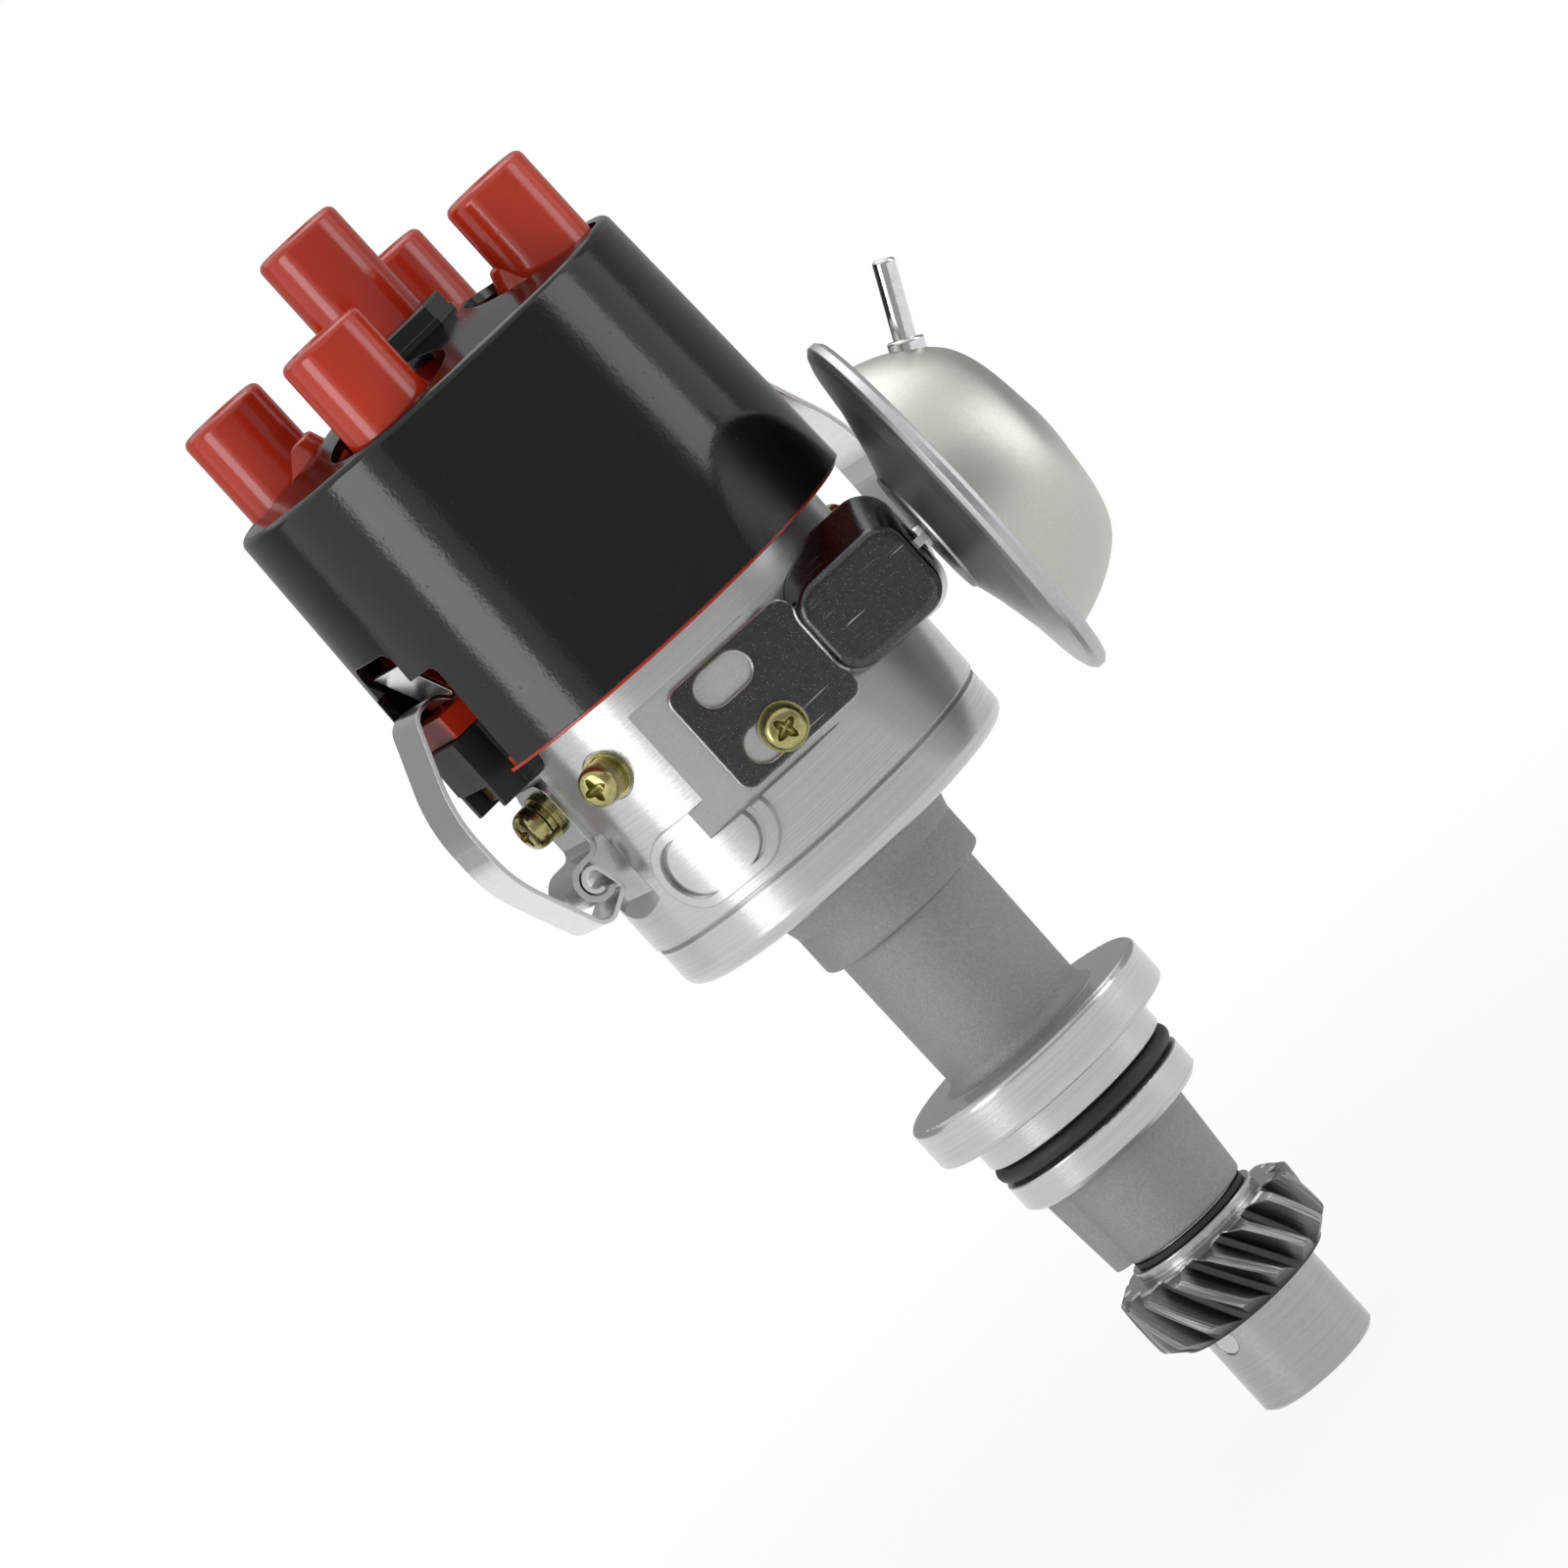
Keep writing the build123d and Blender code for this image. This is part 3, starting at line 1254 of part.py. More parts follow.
for side_name, azimuth in clip_azimuths.items():
    with BuildPart() as spring_clip:
        with BuildSketch(side_plane(azimuth)):
            with BuildLine():
                CenterArc(hinge, strip_curl_radius, -100, 265)
                FilletPolyline(*strip_corners, radius=strip_rounds)
            trace(line_width=strip_thickness)
        extrude(amount=strip_width / 2, both=True)
    finish(spring_clip, f"spring_clip_{side_name}")
    with BuildPart() as clip_bracket:
        with BuildSketch(side_plane(azimuth)):
            with BuildLine():
                FilletPolyline(
                    (bracket_face, bracket_top),
                    (bracket_face, hinge_height + hinge_curl_radius),
                    (hinge_radius, hinge_height + hinge_curl_radius),
                    radius=2.2,
                )
                CenterArc(hinge, hinge_curl_radius, 90, -210)
            trace(line_width=bracket_thickness)
        extrude(amount=strip_width / 2, both=True)
        with BuildSketch(face_plane(azimuth, bowl_inner_radius - 4, bracket_top - 20)):
            RectangleRounded(strip_width, 40, 3.0)
        extrude(amount=30, mode=Mode.INTERSECT)
        add(
            radial_rod(azimuth, clip_screw_height, screw_radius + 0.15, bowl_inner_radius - 4, bowl_radius + 4),
            mode=Mode.SUBTRACT,
        )
    finish(clip_bracket, f"clip_bracket_{side_name}")

# Screws with their washers, each on an outward-facing seat
screw_seats = []
for azimuth in clip_azimuths.values():
    screw_seats.append(
        (face_plane(azimuth, clip_pad_radius + bracket_thickness + 0.04, clip_screw_height), 6.9)
    )
screw_seats.append((face_plane(plate_screw_azimuth, bowl_radius - 0.26, plate_screw_height), 6.1))
screw_seats.append(
    (
        Plane(origin=(vacuum_screw_x, -land_depth - plate_thickness - 0.04, lower_slot_height),
              x_dir=(1, 0, 0), z_dir=(0, -1, 0)),
        3.6,
    )
)
with BuildPart() as flat_washers:
    for seat, grip in screw_seats:
        with BuildSketch(seat):
            Circle(flat_washer_radius)
            Circle(screw_radius + 0.15, mode=Mode.SUBTRACT)
        extrude(amount=flat_washer_thickness)
finish(flat_washers, "flat_washers")

with BuildPart() as spring_washers:
    for seat, grip in screw_seats:
        with BuildSketch(seat.offset(flat_washer_thickness + slip)):
            Circle(spring_washer_radius)
            Circle(screw_radius + 0.15, mode=Mode.SUBTRACT)
            with Locations((0, spring_washer_radius)):
                Rectangle(0.7, 2 * spring_washer_radius, mode=Mode.SUBTRACT)
        extrude(amount=spring_washer_thickness)
finish(spring_washers, "spring_washers")

with BuildPart() as pan_screws:
    for seat, grip in screw_seats:
        head_seat = seat.offset(flat_washer_thickness + spring_washer_thickness + 2 * slip)
        length = grip + flat_washer_thickness + spring_washer_thickness + 2 * slip
        screw = turned_on(
            head_seat,
            [
                (0, -length),
                (screw_radius - 0.5, -length),
                (screw_radius, -length + 0.5),
                (screw_radius, 0),
                (screw_head_radius, 0),
                (screw_head_radius, screw_head_height),
                (0, screw_head_height),
            ],
            [0, 0, 0, 0, 0.4, 1.5, 0],
        )
        add(screw)
        with BuildSketch(head_seat.offset(screw_head_height)):
            Rectangle(4.4, 0.95)
            Rectangle(0.95, 4.4)
        extrude(amount=-1.7, mode=Mode.SUBTRACT)
finish(pan_screws, "pan_screws")

# Vacuum unit: bracket with a pressed hollow arm, two shells, diaphragm, rod and nipple
arm_centre_front = ((pocket_left + pocket_right) / 2 + 0.15, can_height - 0.5)
arm_size_front = (arm_width - 4.3, 17.0)
arm_centre_rear = ((pocket_left + pocket_right) / 2, can_height + 0.5)
arm_size_rear = (arm_width, 24.0)
arm_rear = 20.0
with BuildPart() as vacuum_bracket:
    with BuildSketch(Plane.XZ.offset(pocket_front)):
        with Locations(arm_centre_front):
            RectangleRounded(*arm_size_front, 5.0)
    with BuildSketch(Plane.XZ.offset(arm_rear)):
        with Locations(arm_centre_rear):
            RectangleRounded(*arm_size_rear, 6.0)
    loft()
    fillet(vacuum_bracket.faces().sort_by(Axis.Y)[0].edges(), radius=1.6)
    inset = 2 * pocket_wall
    with BuildSketch(Plane.XZ.offset(pocket_front - pocket_wall)):
        with Locations(arm_centre_front):
            RectangleRounded(arm_size_front[0] - inset, arm_size_front[1] - inset, 3.8)
    with BuildSketch(Plane.XZ.offset(arm_rear - 0.5)):
        with Locations(arm_centre_rear):
            RectangleRounded(arm_size_rear[0] - inset, arm_size_rear[1] - inset, 4.7)
    hollow = loft(mode=Mode.PRIVATE)
    with BuildSketch(Plane.XZ.offset(land_depth + slip)):
        with Locations(((plate_left + pocket_left + 2.6) / 2, (plate_low + plate_top) / 2)):
            plate_outline = RectangleRounded(pocket_left + 2.6 - plate_left, plate_top - plate_low, 2.5)
        with Locations((slot_centre, upper_slot_height), (slot_centre, lower_slot_height)):
            SlotOverall(slot_length, slot_width, mode=Mode.SUBTRACT)
    extrude(amount=plate_thickness)
    add(hollow, mode=Mode.SUBTRACT)
    add(ring(0, bowl_radius + air, plate_low - 10, plate_top + 10) & block(90, 14, 60, 60, plate_low - 9, plate_top + 9),
        mode=Mode.SUBTRACT)
    add(
        turned_on(can_section(pocket_right - 6), [(0, 0), (4.2, 0), (4.2, 12), (0, 12)]),
        mode=Mode.SUBTRACT,
    )
finish(vacuum_bracket, "vacuum_bracket")

shell_start = pocket_right + 0.3
shell_seat = flange_seat - dome_flange_thickness - diaphragm_thickness - 0.1
with BuildPart() as vacuum_front_shell:
    add(
        can_turned(
            [
                (shell_start, 4.5), (shell_start, can_neck_radius), (shell_start + 0.5, can_neck_radius + 0.4),
                (shell_start + 1.1, 14.2), (shell_start + 1.9, 17.0), (rim_start - 2.6, rim_radius - 14.9),
                (rim_start - 1.4, rim_radius - 9.4), (rim_start - 0.9, rim_radius - 5.4),
                (rim_start - 0.5, rim_radius - 2.4), (rim_start, rim_radius - 0.9),
                (rim_start + 0.8, rim_radius), (rim_end - 0.8, rim_radius), (rim_end, rim_radius - 0.8),
                (rim_end, rim_radius - 2.3), (flange_seat + 0.05, rim_radius - 2.3),
                (flange_seat + 0.05, dome_flange_radius + 0.15), (shell_seat, dome_flange_radius + 0.15),
                (shell_seat, rim_radius - 2.2), (rim_start + 0.2, rim_radius - 5.0), (rim_start - 0.3, rim_radius - 9.2),
                (rim_start - 1.6, rim_radius - 14.4), (shell_start + 3.0, 16.7), (shell_start + 2.2, 14.1),
                (shell_start + 1.3, 10.8), (shell_start + 1.3, 4.5),
            ]
        )
    )
finish(vacuum_front_shell, "vacuum_front_shell")

# The dome follows a smooth line; its inner side lies one wall thickness inside
dome_steps = [(0.5, 28.9), (6.3, 27.0), (12.8, 23.1), (15.55, 20.3), (17.2, 17.0), (18.25, 12.8), (19.05, 7.0)]
dome_line = [(flange_seat + step, radius) for step, radius in dome_steps]
dome_end = (flange_seat + 19.55, 0.0)


def inward(points, distance):
    """Points moved square to their own line, towards the can's axis."""
    moved = []
    for index, point in enumerate(points):
        before = points[max(index - 1, 0)]
        after = points[min(index + 1, len(points) - 1)]
        run, rise = after[0] - before[0], after[1] - before[1]
        size = sqrt(run * run + rise * rise)
        moved.append((point[0] + rise / size * distance, point[1] - run / size * distance))
    return moved


inner_line = inward([*dome_line, dome_end], can_wall)[:-1]
inner_end = (dome_end[0] - can_wall, 0.0)
with BuildPart() as vacuum_rear_dome:
    with BuildSketch(can_plane):
        with BuildLine():
            Polyline(
                inner_line[0],
                (flange_seat - dome_flange_thickness, inner_line[0][1] - 0.3),
                (flange_seat - dome_flange_thickness, dome_flange_radius),
                (flange_seat, dome_flange_radius),
                (flange_seat, dome_line[0][1] + 0.6),
                dome_line[0],
            )
            Spline(*dome_line, dome_end, tangents=[(5.6, -1.2), (0, -1)])
            Line(dome_end, inner_end)
            Spline(inner_end, *reversed(inner_line), tangents=[(0, 1), (-5.6, 1.2)])
        make_face()
    revolve(axis=Axis(can_plane.origin, can_plane.x_dir))
    lean = radians(nipple_lean)
    nipple_axis = can_plane.x_dir * sin(lean) + Vector(0, 0, 1) * cos(lean)
    nipple_foot = can_plane.origin + can_plane.x_dir * (flange_seat + nipple_place) + Vector(0, 0, nipple_foot_radius)
    nipple_plane = Plane(origin=nipple_foot, x_dir=can_plane.z_dir, z_dir=nipple_axis)
    with BuildSketch(nipple_plane.offset(-6)):
        Circle(nipple_radius + slip)
    extrude(amount=12, mode=Mode.SUBTRACT)
finish(vacuum_rear_dome, "vacuum_rear_dome")

with BuildPart() as vacuum_nipple:
    add(
        turned_on(
            nipple_plane,
            [
                (nipple_bore_radius, -2.6), (nipple_radius, -2.6), (nipple_radius, nipple_length),
                (nipple_bore_radius, nipple_length),
            ],
            [0, 0, nipple_end_rounding, 0],
        )
    )
    add(
        turned_on(
            nipple_plane,
            [
                (nipple_bore_radius, -1.5), (nipple_collar_radius, -1.5), (nipple_collar_radius, nipple_collar_height),
                (nipple_bore_radius, nipple_collar_height),
            ],
            [0, 0, 0.5, 0],
        )
    )
    with BuildSketch(can_plane):
        with BuildLine():
            Polyline(dome_end, (flange_seat, 0), (flange_seat, dome_line[0][1] + 0.6), dome_line[0])
            Spline(*dome_line, dome_end, tangents=[(5.6, -1.2), (0, -1)])
        make_face()
    dome_solid = revolve(axis=Axis(can_plane.origin, can_plane.x_dir), mode=Mode.PRIVATE)
    collar_zone = turned_on(
        nipple_plane,
        [(nipple_radius - 0.001, -4), (nipple_collar_radius + 1, -4), (nipple_collar_radius + 1, 3),
         (nipple_radius - 0.001, 3)],
    )
    add(dome_solid & collar_zone, mode=Mode.SUBTRACT)
finish(vacuum_nipple, "vacuum_nipple")

diaphragm_low = flange_seat - dome_flange_thickness - 0.05 - diaphragm_thickness
with BuildPart() as diaphragm:
    add(
        can_turned(
            [
                (diaphragm_low, rod_thickness + 0.65), (diaphragm_low, dome_flange_radius + 0.1),
                (diaphragm_low + diaphragm_thickness, dome_flange_radius + 0.1),
                (diaphragm_low + diaphragm_thickness, rod_thickness + 0.65),
            ]
        )
    )
finish(diaphragm, "diaphragm")

with BuildPart() as diaphragm_plates:
    for start in (diaphragm_low - 0.1 - diaphragm_plate_thickness, diaphragm_low + diaphragm_thickness + 0.1):
        add(
            can_turned(
                [
                    (start, rod_thickness + 0.65), (start, diaphragm_plate_radius),
                    (start + diaphragm_plate_thickness, diaphragm_plate_radius),
                    (start + diaphragm_plate_thickness, rod_thickness + 0.65),
                ]
            )
        )
finish(diaphragm_plates, "diaphragm_plates")

rod_start = can_offset * sin(radians(-pickup_turn / 2))
rod_end = diaphragm_low - 6.05
with BuildPart() as pull_rod:
    rod_level = can_plane.origin - Vector(0, 0, rod_thickness / 2)
    with BuildSketch(Plane(origin=rod_level, x_dir=can_plane.x_dir, z_dir=(0, 0, 1))):
        with Locations(((rod_end + rod_start) / 2, 0)):
            Rectangle(rod_end - rod_start, rod_width)
        with Locations((rod_start, 0)):
            Circle(rod_eye_radius + 0.3)
            Circle(rod_pin_radius + 0.35, mode=Mode.SUBTRACT)
    extrude(amount=rod_thickness)
    stud_low = rod_end - 1.5
    stud_top = diaphragm_low + 3.35
    add(can_turned([(stud_low, 0), (stud_low, rod_thickness + 0.6), (stud_top, rod_thickness + 0.6), (stud_top, 0)]))
finish(pull_rod, "pull_rod")

with BuildPart() as return_spring:
    spring_first = diaphragm_low + diaphragm_thickness + diaphragm_plate_thickness + 0.55
    spring_last = dome_end[0] - 2.5
    with BuildLine():
        return_path = Helix(
            pitch=2.9, height=spring_last - spring_first, radius=8.4,
            center=can_plane.origin + can_plane.x_dir * spring_first, direction=can_plane.x_dir,
        )
    with BuildSketch(Plane(origin=return_path @ 0, z_dir=return_path % 0)):
        Circle(0.4)
    sweep(path=return_path)
finish(return_spring, "return_spring")
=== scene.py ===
import json
from math import cos, radians, sin

import bpy
from mathutils import Matrix, Vector


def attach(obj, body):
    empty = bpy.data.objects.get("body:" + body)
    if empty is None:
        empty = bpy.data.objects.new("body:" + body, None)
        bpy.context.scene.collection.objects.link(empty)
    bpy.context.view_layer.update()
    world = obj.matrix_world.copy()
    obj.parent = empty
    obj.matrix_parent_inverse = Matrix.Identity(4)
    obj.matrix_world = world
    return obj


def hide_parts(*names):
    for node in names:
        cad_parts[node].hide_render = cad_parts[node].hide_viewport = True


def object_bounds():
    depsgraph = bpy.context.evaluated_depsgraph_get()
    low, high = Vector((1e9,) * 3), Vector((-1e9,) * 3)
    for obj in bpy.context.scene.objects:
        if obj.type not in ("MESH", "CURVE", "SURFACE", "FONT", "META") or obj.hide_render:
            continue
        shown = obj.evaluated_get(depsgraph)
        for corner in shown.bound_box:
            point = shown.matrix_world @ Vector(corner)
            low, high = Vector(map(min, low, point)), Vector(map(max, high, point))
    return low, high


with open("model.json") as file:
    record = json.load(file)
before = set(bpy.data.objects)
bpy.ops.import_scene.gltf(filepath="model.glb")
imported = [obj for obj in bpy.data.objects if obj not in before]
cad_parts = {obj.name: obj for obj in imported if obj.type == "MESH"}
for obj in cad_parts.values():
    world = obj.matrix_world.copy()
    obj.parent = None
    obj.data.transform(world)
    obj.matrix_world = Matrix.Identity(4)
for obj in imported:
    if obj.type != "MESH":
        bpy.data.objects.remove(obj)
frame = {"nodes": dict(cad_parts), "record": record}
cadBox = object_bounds()
nodes = frame["nodes"]
print("frame loaded:", len(nodes), "nodes")

# Camera: fitted to the photograph, which shows the shaft leaning from top left to bottom right
cameraSettings = {
    "target": Vector((0.0, 0.0, 0.06716)),   # height of the point that the photograph is centred on
    "distance": 1.5278,
    "side": 0.000975,
    "elevation": 6.843,
    "azimuth": 0.33,
    "roll": (0.74328, 0.66897),              # the shaft's slant in the picture
    "lens": 207.63,
}


def makeCamera(s):
    el, az = radians(s["elevation"]), radians(s["azimuth"])
    right = Vector((cos(az), -sin(el) * sin(az), -sin(az) * cos(el)))
    down = Vector((-sin(az), -sin(el) * cos(az), -cos(az) * cos(el)))
    ahead = right.cross(down).normalized()
    place = s["target"] - s["side"] * right - s["distance"] * ahead
    a, b = s["roll"]
    pictureRight = a * right + b * down
    pictureDown = -b * right + a * down
    data = bpy.data.cameras.new("photoCamera")
    data.lens = s["lens"]
    data.sensor_width = 36.0
    data.clip_end = 20.0
    camera = bpy.data.objects.new("photoCamera", data)
    bpy.context.scene.collection.objects.link(camera)
    axes = Matrix((pictureRight, -pictureDown, -ahead)).transposed().to_4x4()
    camera.matrix_world = Matrix.Translation(place) @ axes
    bpy.context.scene.camera = camera


makeCamera(cameraSettings)
bpy.context.scene.view_settings.view_transform = "Standard"

# Light: one tall softbox at the left, a weaker one at the right, one above
lampSettings = {
    "leftBox": {"azimuth": -58, "distance": 1.25, "height": 0.12, "size": (0.46, 1.3), "radiance": 3.8},
    "rightBox": {"azimuth": 80, "distance": 1.3, "height": 0.25, "size": (0.45, 1.1), "radiance": 2.0},
    "topBox": {"azimuth": 150, "distance": 0.6, "height": 1.3, "size": (1.0, 1.0), "radiance": 1.5},
}


def makeLamp(name, s):
    data = bpy.data.lights.new(name, "AREA")
    data.shape = "RECTANGLE"
    data.size, data.size_y = s["size"]
    data.energy = s["radiance"] * 3.14159 * s["size"][0] * s["size"][1]
    lamp = bpy.data.objects.new(name, data)
    bpy.context.scene.collection.objects.link(lamp)
    a = radians(s["azimuth"])
    place = Vector((s["distance"] * sin(a), -s["distance"] * cos(a), s["height"]))
    aim = Vector((0, 0, 0.08)) - place
    lamp.matrix_world = Matrix.Translation(place) @ aim.to_track_quat("-Z", "Y").to_matrix().to_4x4()
    lamp.visible_camera = False


for lampName, lampValues in lampSettings.items():
    makeLamp(lampName, lampValues)

worldSettings = {"light": 0.45, "background": 1.0}


def makeWorld(s):
    world = bpy.data.worlds.new("studio")
    world.use_nodes = True
    tree = world.node_tree
    tree.nodes.clear()
    out = tree.nodes.new("ShaderNodeOutputWorld")
    path = tree.nodes.new("ShaderNodeLightPath")
    seen = tree.nodes.new("ShaderNodeMath")
    seen.operation = "MAXIMUM"
    tree.links.new(path.outputs["Is Camera Ray"], seen.inputs[0])
    tree.links.new(path.outputs["Is Glossy Ray"], seen.inputs[1])
    seenToo = tree.nodes.new("ShaderNodeMath")
    seenToo.operation = "MAXIMUM"
    tree.links.new(seen.outputs[0], seenToo.inputs[0])
    tree.links.new(path.outputs["Is Transmission Ray"], seenToo.inputs[1])
    lit = tree.nodes.new("ShaderNodeBackground")
    lit.inputs["Color"].default_value = (1, 1, 1, 1)
    lit.inputs["Strength"].default_value = s["light"]
    shown = tree.nodes.new("ShaderNodeBackground")
    shown.inputs["Color"].default_value = (1, 1, 1, 1)
    shown.inputs["Strength"].default_value = s["background"]
    mix = tree.nodes.new("ShaderNodeMixShader")
    tree.links.new(seenToo.outputs[0], mix.inputs[0])
    tree.links.new(lit.outputs[0], mix.inputs[1])
    tree.links.new(shown.outputs[0], mix.inputs[2])
    tree.links.new(mix.outputs[0], out.inputs[0])
    bpy.context.scene.world = world


makeWorld(worldSettings)

# Cards: grey walls before and behind the part, seen only in reflections
cardSettings = {
    "frontCard": {"azimuths": (-36, 66), "heights": (-0.5, 0.75), "distance": 1.15, "radiance": 0.40},
    "backCard": {"azimuths": (112, 250), "heights": (-0.06, 0.8), "distance": 1.25, "radiance": 0.32},
}


def makeCard(name, s):
    steps = 24
    first, last = s["azimuths"]
    points = []
    for step in range(steps + 1):
        a = radians(first + (last - first) * step / steps)
        for z in s["heights"]:
            points.append((s["distance"] * sin(a), -s["distance"] * cos(a), z))
    faces = [(2 * k, 2 * k + 2, 2 * k + 3, 2 * k + 1) for k in range(steps)]
    mesh = bpy.data.meshes.new(name)
    mesh.from_pydata(points, [], faces)
    card = bpy.data.objects.new(name, mesh)
    bpy.context.scene.collection.objects.link(card)
    material = bpy.data.materials.new(name)
    material.use_nodes = True
    shader = material.node_tree.nodes["Principled BSDF"]
    shader.inputs["Base Color"].default_value = (0, 0, 0, 1)
    shader.inputs["Roughness"].default_value = 1.0
    shader.inputs["Emission Color"].default_value = (1, 1, 1, 1)
    shader.inputs["Emission Strength"].default_value = s["radiance"]
    mesh.materials.append(material)
    card.visible_camera = False
    card.visible_diffuse = False
    card.visible_shadow = False


for cardName, cardValues in cardSettings.items():
    makeCard(cardName, cardValues)
print("camera, lamps, world and cards made")


# Wraps a node tree so that a node and its links read in one line
class Tree:
    def __init__(self, tree):
        self.tree = tree

    def add(self, kind, **values):
        node = self.tree.nodes.new(kind)
        for key, value in values.items():
            setattr(node, key, value)
        return node

    def feed(self, node, key, value):
        if isinstance(value, bpy.types.NodeSocket):
            self.tree.links.new(value, node.inputs[key])
        else:
            node.inputs[key].default_value = value

    def math(self, operation, a, b=None, c=None):
        node = self.add("ShaderNodeMath", operation=operation)
        for index, value in enumerate((a, b, c)):
            if value is not None:
                self.feed(node, index, value)
        return node.outputs[0]

    def spread(self, value, low, high, toLow=0.0, toHigh=1.0):
        node = self.add("ShaderNodeMapRange", interpolation_type="SMOOTHSTEP")
        self.feed(node, "Value", value)
        for key, number in (("From Min", low), ("From Max", high), ("To Min", toLow), ("To Max", toHigh)):
            self.feed(node, key, number)
        return node.outputs["Result"]

    def noise(self, vector, scale, detail=2.0, roughness=0.5):
        node = self.add("ShaderNodeTexNoise")
        self.feed(node, "Vector", vector)
        for key, number in (("Scale", scale), ("Detail", detail), ("Roughness", roughness)):
            self.feed(node, key, number)
        return node.outputs["Fac"]

    def blendColour(self, factor, a, b):
        node = self.add("ShaderNodeMix", data_type="RGBA")
        self.feed(node, 0, factor)
        self.feed(node, 6, a)
        self.feed(node, 7, b)
        return node.outputs[2]

    def stretched(self, scale, turn=(0, 0, 0)):
        place = self.add("ShaderNodeTexCoord")
        mapping = self.add("ShaderNodeMapping")
        self.feed(mapping, "Vector", place.outputs["Object"])
        self.feed(mapping, "Rotation", turn)
        self.feed(mapping, "Scale", scale)
        return mapping.outputs[0]


def makeGroup(name, inputs, outputs, build):
    group = bpy.data.node_groups.new(name, "ShaderNodeTree")
    for key, value in inputs.items():
        socket = group.interface.new_socket(key, in_out="INPUT", socket_type="NodeSocketFloat")
        socket.default_value = value
    for key in outputs:
        group.interface.new_socket(key, in_out="OUTPUT", socket_type="NodeSocketFloat")
    tree = Tree(group)
    source = tree.add("NodeGroupInput")
    target = tree.add("NodeGroupOutput")
    for key, socket in build(tree, source.outputs).items():
        tree.feed(target, key, socket)
    return group


def buildTurning(tree, given):
    # rings left by a lathe: noise that varies along the shaft and outward but hardly round it
    place = tree.add("ShaderNodeTexCoord").outputs["Object"]
    parts = tree.add("ShaderNodeSeparateXYZ")
    tree.feed(parts, 0, place)
    x, y, z = parts.outputs
    radius = tree.math("SQRT", tree.math("ADD", tree.math("MULTIPLY", x, x), tree.math("MULTIPLY", y, y)))
    vector = tree.add("ShaderNodeCombineXYZ")
    tree.feed(vector, 0, tree.math("MULTIPLY", radius, given["Lines"]))
    tree.feed(vector, 1, tree.math("MULTIPLY", z, given["Lines"]))
    tree.feed(vector, 2, tree.math("MULTIPLY", tree.math("ARCTAN2", y, x), 0.25))
    return {"Rings": tree.noise(vector.outputs[0], 1.0, 3.0, 0.7)}


def buildGrain(tree, given):
    place = tree.add("ShaderNodeTexCoord").outputs["Object"]
    coarse = tree.noise(place, given["Scale"], 4.0, 0.6)
    fine = tree.noise(place, tree.math("MULTIPLY", given["Scale"], 3.7), 2.0, 0.5)
    patch = tree.noise(place, tree.math("MULTIPLY", given["Scale"], 0.06), 2.0, 0.5)
    both = tree.math("ADD", tree.math("MULTIPLY", coarse, 0.6), tree.math("MULTIPLY", fine, 0.4))
    return {"Grain": both, "Patches": patch}


def buildScratches(tree, given):
    # long thin marks in a slanting direction, and small bright specks
    one = tree.noise(tree.stretched((90, 2600, 2600), (0.3, 0.35, 0.6)), 1.0, 1.0, 0.5)
    marks = tree.spread(one, 0.72, 0.80)
    dots = tree.add("ShaderNodeTexVoronoi", feature="F1")
    tree.feed(dots, "Vector", tree.add("ShaderNodeTexCoord").outputs["Object"])
    tree.feed(dots, "Scale", given["Specks"])
    small = tree.spread(dots.outputs["Distance"], 0.22, 0.08)
    chosen = tree.add("ShaderNodeSeparateColor")
    tree.feed(chosen, 0, dots.outputs["Color"])
    specks = tree.math("MULTIPLY", small, tree.spread(chosen.outputs[0], 0.55, 0.75))
    return {"Marks": marks, "Specks": specks}


turningGroup = makeGroup("latheRings", {"Lines": 6000.0}, ["Rings"], buildTurning)
grainGroup = makeGroup("surfaceGrain", {"Scale": 1200.0}, ["Grain", "Patches"], buildGrain)
scratchGroup = makeGroup("handlingMarks", {"Specks": 900.0}, ["Marks", "Specks"], buildScratches)


def useGroup(tree, group, **values):
    node = tree.add("ShaderNodeGroup", node_tree=group)
    for key, value in values.items():
        tree.feed(node, key, value)
    return node.outputs


def newMaterial(name, **values):
    material = bpy.data.materials.new(name)
    material.use_nodes = True
    tree = Tree(material.node_tree)
    shader = material.node_tree.nodes["Principled BSDF"]
    for key, value in values.items():
        shader.inputs[key].default_value = value
    return material, tree, shader


def addBump(tree, shader, height, distance, strength=1.0, edge=0.00022):
    bump = tree.add("ShaderNodeBump")
    if edge:
        bevel = tree.add("ShaderNodeBevel", samples=6)
        tree.feed(bevel, "Radius", edge)
        tree.feed(bump, "Normal", bevel.outputs[0])
    tree.feed(bump, "Strength", strength)
    tree.feed(bump, "Distance", distance)
    tree.feed(bump, "Height", height)
    tree.feed(shader, "Normal", bump.outputs[0])


# Mask of where a face turns a corner, from how far the rounded normal leans from the plain one; it places painted
# edge lines: a painted dark edge on the housing, a painted highlight on the bracket
def paintedEdgeMask(tree, radius, low=0.02, high=0.16):
    rounded = tree.add("ShaderNodeBevel", samples=6)
    tree.feed(rounded, "Radius", radius)
    lean = tree.add("ShaderNodeVectorMath", operation="DOT_PRODUCT")
    tree.feed(lean, 0, rounded.outputs[0])
    tree.feed(lean, 1, tree.add("ShaderNodeNewGeometry").outputs["Normal"])
    return tree.spread(tree.math("SUBTRACT", 1.0, lean.outputs["Value"]), low, high)


